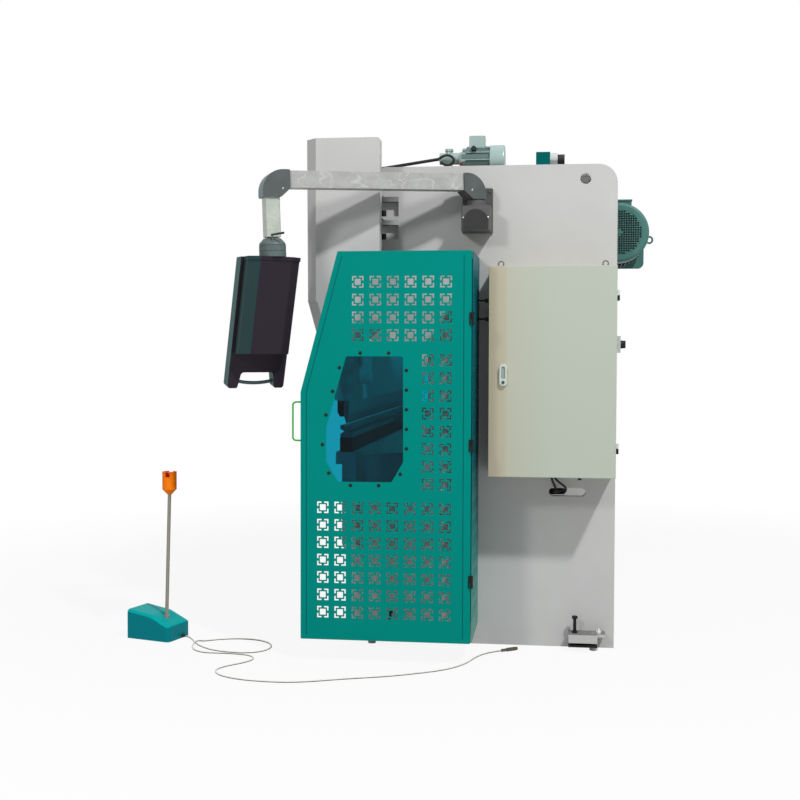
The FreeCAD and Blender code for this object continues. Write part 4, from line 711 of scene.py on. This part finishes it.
def motif_loops(u, v):
    """Outlines of one square and its four corner slots, round the point u, v."""
    loops = [square(u, v, SQUARE_HALF)]
    corner = [(SLOT_END, SLOT_IN), (SLOT_END, SLOT_OUT), (SLOT_OUT, SLOT_OUT),
              (SLOT_OUT, SLOT_END), (SLOT_IN, SLOT_END), (SLOT_IN, SLOT_IN)]
    for su in (-1, 1):
        for sv in (-1, 1):
            loops.append([(u + su * a, v + sv * b) for a, b in corner])
    return loops


def pattern(first, blocks):
    """The loops of every motif in some blocks, with columns counted down from first."""
    loops = []
    for top, rows, columns in blocks:
        for row in range(rows):
            for column in range(columns):
                loops += motif_loops(first - column * PITCH, top - row * PITCH)
    return loops


def flange_strip(a, b, side):
    """One folded edge of the door, from point a to point b in Y and Z, going inwards."""
    along = Vector((b[0] - a[0], b[1] - a[1]))
    inset = Vector((along.y, -along.x)).normalized() * DOOR_SHEET
    verts = []
    for x in (side * GUARD_X, side * (GUARD_X - DOOR_FLANGE)):
        for y, z in (a, b):
            verts += [(x, y, z), (x, y + inset.x, z + inset.y)]
    return verts, SLAB_FACES


def add_door(side, word):
    """The pan-shaped door: a punched face with a window, and its folded edges."""
    holes = [rounded(WINDOW, WINDOW_CORNER)] + pattern(FIRST_Y, BLOCKS)
    mesh = punched_sheet(OUTLINE, holes, lambda y, z: (side * GUARD_X, y, z),
                         Vector((-side * DOOR_SHEET, 0, 0)))
    add_to_mesh(mesh, [flange_strip(a, b, side) for a, b in zip(OUTLINE, OUTLINE[1:] + OUTLINE[:1])])
    obj = placed("guard_panel_" + word, mesh, "guard_" + word, "guard")
    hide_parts("guard_door_" + word)


def add_wall(side, word):
    """The fixed rear wall of a guard, with its own columns of the pattern."""
    near, front, bottom = wall_low
    far, face, top = wall_high
    outline = [(near, bottom), (far, bottom), (far, top), (near, top)]
    holes = pattern(WALL_FIRST_X, [(top_row, rows, WALL_COLUMNS) for top_row, rows, _ in BLOCKS])
    mesh = punched_sheet(outline, holes, lambda x, z: (side * x, face, z), Vector((0, -WALL_SHEET, 0)))
    inner, outer = sorted((side * near, side * (near + WALL_SHEET)))
    add_to_mesh(mesh, [box_faces((inner, front, bottom), (outer, face - WALL_SHEET, top))])
    obj = placed("guard_rear_" + word, mesh, "frame", "guard_wall")
    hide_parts("guard_wall_" + word)


def add_window_bolts(side, word):
    """Domed bolts around a guard's window, the same distance from its edges."""
    heads = []
    for i, (count, margin) in enumerate(WINDOW_BOLTS):
        a = Vector(WINDOW[i])
        b = Vector(WINDOW[(i + 1) % len(WINDOW)])
        for k in range(count):
            share = 0.5 if count == 1 else margin + (1 - 2 * margin) * k / (count - 1)
            spot = a.lerp(b, share) + outward(WINDOW, i) * BOLT_OUT
            place = (side * GUARD_X, spot.x, spot.y)
            heads.append(button_head(place, (side, 0, 0), BOLT_RADIUS, BOLT_HEIGHT))
    bolts = piece("window_bolts_" + word, *gathered(heads), "guard_" + word, "black", True)


def add_seams(side, word):
    """The lines where the door's folded edges meet its face."""
    rear = door_high[1] - SEAM_REAR
    front = door_low[1] + SEAM_FRONT
    top = door_high[2] - SEAM_ENDS
    low = door_low[2] + SEAM_ENDS
    peak = SLANT_TOP_Y + SEAM_PEAK
    lines = (((rear, low), (rear, top)), ((front, low), (front, SLANT_LOW_Z)),
             ((front, SLANT_LOW_Z), (peak, top)))
    strips = []
    for a, b in lines:
        along = (Vector(b) - Vector(a)).normalized()
        wide = Vector((along.y, -along.x)) * side * SEAM_WIDTH / 2
        verts = []
        for x in (side * (GUARD_X + SEAM_PROUD), side * GUARD_X):
            for end in (Vector(a), Vector(b)):
                verts += [(x, *(end - wide)), (x, *(end + wide))]
        strips.append((verts, SLAB_FACES))
    seams = piece("guard_seams_" + word, *gathered(strips), "guard_" + word, "seam")


for side, word in ((1, "right"), (-1, "left")):
    add_door(side, word)
    add_wall(side, word)
    add_window_bolts(side, word)
    add_seams(side, word)


# Fan grille and cooling fins of the main motor

GRILLE_RADIUS = 0.112
GRILLE_GAP = 0.0005
GRILLE_SHEET = 0.0012
GRILLE_SIDES = 64
MESH_PITCH = 0.0114
MESH_HOLE = 0.0043
MESH_MARGIN = 0.005
HUB_CLEAR = 0.015
FIN_COUNT = 44
FIN_HALF = 0.0022
FIN_X = (0.840, 1.112)
FIN_REACH = (0.121, 0.149)


def add_grille():
    """A disc with a square mesh of holes, set in the recess of the cowl."""
    reach = GRILLE_RADIUS - GRILLE_GAP
    half_count = int(reach / MESH_PITCH)
    steps = [MESH_PITCH * i for i in range(-half_count, half_count + 1)]
    holes = [square(COWL_Y + u, COWL_Z + v, MESH_HOLE) for v in steps for u in steps
             if HUB_CLEAR < math.hypot(u, v) < reach - MESH_MARGIN]
    mesh = punched_sheet(circle(COWL_Y, COWL_Z, reach, GRILLE_SIDES), holes,
                         lambda y, z: (COWL_FRONT - GRILLE_GAP, y, z), Vector((-GRILLE_SHEET, 0, 0)))
    placed("fan_grille", mesh, "frame", "motor")


def add_motor_fins():
    """Cooling fins of the main motor, standing out to the rim of its cowl."""
    fins = []
    for i in range(FIN_COUNT):
        a = 2 * math.pi * i / FIN_COUNT
        out = Vector((0, math.cos(a), math.sin(a)))
        wide = Vector((0, -math.sin(a), math.cos(a))) * FIN_HALF
        verts = []
        for x in FIN_X:
            for reach in FIN_REACH:
                middle = Vector((x, COWL_Y, COWL_Z)) + out * reach
                verts += [middle - wide, middle + wide]
        fins.append((verts, SLAB_FACES))
    piece("motor_fins", *gathered(fins), "frame", "motor_dark")


# Screws, with their radius and height

BRACKET_SCREW_IN = 0.015
BRACKET_SCREW_Z = 2.108
BRACKET_SCREW = (0.005, 0.002)
ARM_PIVOT = Vector((1.490, -0.032, 0))
ELBOW_HALF = 0.046
ELBOW_SCREWS = ((0.043, 2.240), (0.980, 2.203))
ELBOW_SCREW = (0.0052, 0.0018)


def add_screws():
    """Two screws on the arm's bracket, and one on each side of both elbows."""
    heads = []
    for y in (bracket_low[1] + BRACKET_SCREW_IN, bracket_high[1] - BRACKET_SCREW_IN):
        heads.append(button_head((bracket_high[0], y, BRACKET_SCREW_Z), (1, 0, 0), *BRACKET_SCREW))
    piece("bracket_screws", *gathered(heads), "frame", "steel", True)
    heads = []
    for along, z in ELBOW_SCREWS:
        for way in (ARM_SIDE, -ARM_SIDE):
            place = ARM_PIVOT + ARM_ALONG * along + way * ELBOW_HALF + Vector((0, 0, z))
            heads.append(button_head(place, way, *ELBOW_SCREW))
    piece("elbow_screws", *gathered(heads), "arm", "steel", True)


# Fixed leads and the pump's hose: name, radius and the points of the line


def guard_lead(z):
    """A lead from the cabinet's side to the guard's rear wall, at height z."""
    return [(1.487, 0.012, z), (1.486, 0.000, z - 0.002), (1.484, -0.012, z - 0.002),
            (1.483, -0.0222, z + 0.001)]


LEADS = (
    ("slot_lead_front", 0.0055, [
        (1.470, 0.335, 0.868), (1.468, 0.340, 0.840), (1.445, 0.352, 0.810),
        (1.410, 0.362, 0.785), (1.370, 0.365, 0.772), (1.310, 0.365, 0.768)]),
    ("slot_lead_rear", 0.0055, [
        (1.470, 0.345, 0.868), (1.470, 0.356, 0.842), (1.465, 0.385, 0.818), (1.455, 0.408, 0.800),
        (1.430, 0.412, 0.780), (1.400, 0.400, 0.766), (1.360, 0.380, 0.762), (1.310, 0.375, 0.765)]),
    ("slot_lead_low", 0.0050, [
        (1.380, 0.352, 0.760), (1.392, 0.345, 0.768), (1.400, 0.362, 0.778),
        (1.392, 0.385, 0.772), (1.370, 0.395, 0.760), (1.320, 0.398, 0.758)]),
    ("guard_lead_1712", 0.0045, guard_lead(1.712)),
    ("guard_lead_1622", 0.0045, guard_lead(1.622)),
    ("pump_hose", 0.0065, [
        (1.286, -0.236, 2.436), (1.290, -0.214, 2.450), (1.292, -0.186, 2.452), (1.292, -0.160, 2.436),
        (1.292, -0.164, 2.412), (1.292, -0.190, 2.400), (1.288, -0.216, 2.405), (1.284, -0.226, 2.420)]),
    ("slot_bundle", 0.0165, [
        (1.360, 0.340, 0.768), (1.378, 0.352, 0.770), (1.380, 0.372, 0.771), (1.350, 0.398, 0.768)]),
)


def add_leads():
    """Short leads of black plastic, each turned from a curve into a mesh."""
    for name, radius, points in LEADS:
        drawn = bpy.data.objects.new(name + "_line", round_curve(name, points, radius, 3, 5))
        mesh = bpy.data.meshes.new_from_object(drawn)
        bpy.data.objects.remove(drawn)
        mesh.name = name
        mesh.materials.clear()
        mesh.shade_smooth()
        placed(name, mesh, "frame", "plastic")


# Turned fittings, each with its profile of distances and radii

DOWN = (0, 0, -1)
UP = (0, 0, 1)
RIGHT = (1, 0, 0)
DRAIN = [(0, 0.011), (0.016, 0.011), (0.018, 0.009), (0.026, 0.009)]
DRAIN_PLACE = (1.500, 0.475, cabinet_low[2] + 0.0002)
NUT = [(0, 0.0135), (0.011, 0.0135), (0.012, 0.012)]
STUD = [(0, 0.006), (0.020, 0.006), (0.022, 0.005)]
NUT_PLACE = (1.452, 0.574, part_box("levelling_feet")[1][2])
PLUG = [(0, 0.006), (0.018, 0.006), (0.020, 0.004)]
PLUG_PLACE = (1.270, -0.128, 2.410)
GLAND = [(0, 0.013), (0.022, 0.013), (0.024, 0.010), (0.030, 0.010)]
GLAND_PLACE = (1.280, -0.061, 2.482)
RELIEF = [(0, 0.0100), (0.006, 0.0100), (0.007, 0.0080), (0.024, 0.0045)]


def add_fittings():
    """The cabinet's drain, an anchor's nut, a plug, a gland and the cord's strain relief."""
    drain = turned_profile(DRAIN, DRAIN_PLACE, DOWN, 18)
    piece("cabinet_drain", *drain, "frame", "plastic")
    nut = turned_profile(NUT, NUT_PLACE, UP, 6)
    stud = turned_profile(STUD, NUT_PLACE, UP, 16)
    piece("anchor_nut", *gathered([nut, stud]), "frame", "white")
    plug = turned_profile(PLUG, PLUG_PLACE, RIGHT, 16)
    piece("pump_plug", *plug, "frame", "red")
    gland = turned_profile(GLAND, GLAND_PLACE, RIGHT, 18)
    piece("terminal_gland", *gland, "frame", "plastic")
    way = Vector(cord_points[1]) - Vector(cord_points[0])
    relief = turned_profile(RELIEF, cord_points[0], way, 20)
    piece("pedal_strain_relief", *relief, "frame", "plastic", True)


# Boxes: the valve's casing and the backs of the guide pockets

VALVE_LOW = (1.063, 0.2475, 2.4125)
VALVE_HIGH = (1.137, 0.3190, 2.4850)
POCKET_BACK_X = (1.366, 1.370)
POCKET_SIZE = (0.0885, 0.0725)
POCKET_GAP = 0.0005


def add_valve_casing():
    """The valve's green casing, longer than the solid behind it."""
    casing = box_faces(VALVE_LOW, VALVE_HIGH)
    piece("valve_casing", *casing, "frame", "valve")


def add_pocket_backs():
    """Grey cheeks behind the guide pockets, seen through their open mouths."""
    backs = []
    for side in (1, -1):
        near, far = sorted((side * POCKET_BACK_X[0], side * POCKET_BACK_X[1]))
        for floor in POCKET_FLOORS:
            backs.append(box_faces((near, POCKET_MOUTH + POCKET_GAP, floor + POCKET_GAP),
                                   (far, POCKET_MOUTH + POCKET_SIZE[0], floor + POCKET_SIZE[1])))
    piece("pocket_backs", *gathered(backs), "frame", "frame")


add_grille()
add_screws()
add_leads()
add_fittings()
add_valve_casing()
add_motor_fins()
add_pocket_backs()


# Stage, light and camera

FLOOR_Z = -0.0005
FLOOR_HALF = 30.0
FLOOR_GREY = 0.62
FLOOR_GLOW = 0.90
SKY = 0.34

# The floor fades to plain white between these distances from the middle
FADE_NEAR = 2.2
FADE_FAR = 5.5

# Lamps: place, target, size and power
MACHINE_END = (1.2, 0.0, 1.1)
LAMPS = {
    "key": ((6.95, 4.5, 9.3), MACHINE_END, 0.6, 850),
    "fill": ((7.2, -3.0, 4.4), MACHINE_END, 0.8, 110),
    "top": ((0.0, 0.0, 8.0), (0.0, 0.0, 0.0), 6.0, 60),
}

# The photo's camera: place, then yaw, pitch and roll in degrees, and focal length in pixels
CAMERA_PLACE = (7.4514, 0.3635, 1.4453)
CAMERA_TURN = (7.356, 2.130, -0.160)
FOCAL_PIXELS = 1217.24
PHOTO_PIXELS = 800.0
SENSOR_WIDTH = 36.0


def seen_ray(tree):
    """1 for camera, glossy and transmission rays, which show the white studio."""
    paths = tree.nodes.new("ShaderNodeLightPath")
    total = paths.outputs["Is Camera Ray"]
    for kind in ("Is Glossy Ray", "Is Transmission Ray"):
        made = tree.nodes.new("ShaderNodeMath")
        made.operation = "MAXIMUM"
        tree.links.new(total, made.inputs[0])
        tree.links.new(paths.outputs[kind], made.inputs[1])
        total = made.outputs[0]
    return total


def floor_material():
    """White that keeps a soft shadow near the object and fades to plain white."""
    mat = bpy.data.materials.new("floor_white")
    mat.use_nodes = True
    tree = mat.node_tree
    bsdf = tree.nodes["Principled BSDF"]
    bsdf.inputs["Base Color"].default_value = (FLOOR_GREY, FLOOR_GREY, FLOOR_GREY, 1)
    bsdf.inputs["Roughness"].default_value = 0.9
    glow = tree.nodes.new("ShaderNodeEmission")
    coords = tree.nodes.new("ShaderNodeTexCoord")
    distance = tree.nodes.new("ShaderNodeVectorMath")
    distance.operation = "LENGTH"
    tree.links.new(coords.outputs["Object"], distance.inputs[0])
    fade = tree.nodes.new("ShaderNodeMapRange")
    fade.interpolation_type = "SMOOTHSTEP"
    fade.inputs["From Min"].default_value = FADE_NEAR
    fade.inputs["From Max"].default_value = FADE_FAR
    fade.inputs["To Min"].default_value = FLOOR_GLOW
    fade.inputs["To Max"].default_value = 1.0
    tree.links.new(distance.outputs["Value"], fade.inputs["Value"])
    share = tree.nodes.new("ShaderNodeMath")
    share.operation = "MULTIPLY"
    tree.links.new(fade.outputs["Result"], share.inputs[0])
    tree.links.new(seen_ray(tree), share.inputs[1])
    mix = tree.nodes.new("ShaderNodeMixShader")
    tree.links.new(share.outputs[0], mix.inputs["Fac"])
    tree.links.new(bsdf.outputs[0], mix.inputs[1])
    tree.links.new(glow.outputs[0], mix.inputs[2])
    tree.links.new(mix.outputs[0], tree.nodes["Material Output"].inputs["Surface"])
    return mat


def make_floor():
    """The studio's floor, just below the part."""
    mesh = bpy.data.meshes.new("floor")
    corners = square(0, 0, FLOOR_HALF)
    mesh.from_pydata([(x, y, FLOOR_Z) for x, y in corners], [], [(0, 1, 2, 3)])
    mesh.materials.append(floor_material())
    floor = bpy.data.objects.new("floor", mesh)
    scene.collection.objects.link(floor)


def make_sky():
    """White to look at, and dimmer as a source of light."""
    world = bpy.data.worlds.new("studio")
    scene.world = world
    world.use_nodes = True
    tree = world.node_tree
    back = tree.nodes["Background"]
    back.inputs["Color"].default_value = (1, 1, 1, 1)
    strength = tree.nodes.new("ShaderNodeMapRange")
    strength.inputs["To Min"].default_value = SKY
    strength.inputs["To Max"].default_value = 1.0
    tree.links.new(seen_ray(tree), strength.inputs["Value"])
    tree.links.new(strength.outputs["Result"], back.inputs["Strength"])


def area_light(name, place, target, size, power):
    """A square lamp that looks at its target."""
    data = bpy.data.lights.new(name, "AREA")
    data.shape = "RECTANGLE"
    data.size = size
    data.size_y = size
    data.energy = power
    obj = bpy.data.objects.new(name, data)
    scene.collection.objects.link(obj)
    obj.location = place
    aim = Vector(target) - Vector(place)
    obj.rotation_euler = aim.to_track_quat("-Z", "Y").to_euler()


def make_camera():
    """The camera that took the photo."""
    yaw, pitch, roll = (math.radians(v) for v in CAMERA_TURN)
    forward = Vector((-math.cos(yaw) * math.cos(pitch), -math.sin(yaw) * math.cos(pitch),
                      -math.sin(pitch)))
    right = forward.cross(Vector((0, 0, 1))).normalized()
    up = right.cross(forward)
    turned_right = math.cos(roll) * right - math.sin(roll) * up
    turned_up = math.sin(roll) * right + math.cos(roll) * up
    data = bpy.data.cameras.new("camera")
    data.sensor_width = SENSOR_WIDTH
    data.lens = FOCAL_PIXELS * SENSOR_WIDTH / PHOTO_PIXELS
    data.clip_end = 60.0
    obj = bpy.data.objects.new("camera", data)
    scene.collection.objects.link(obj)
    axes = Matrix((turned_right, turned_up, -forward)).transposed()
    obj.matrix_world = Matrix.Translation(CAMERA_PLACE) @ axes.to_4x4()
    scene.camera = obj


make_floor()
make_sky()
for name, (place, target, size, power) in LAMPS.items():
    area_light(name, place, target, size, power)
make_camera()
scene.view_settings.view_transform = "Standard"
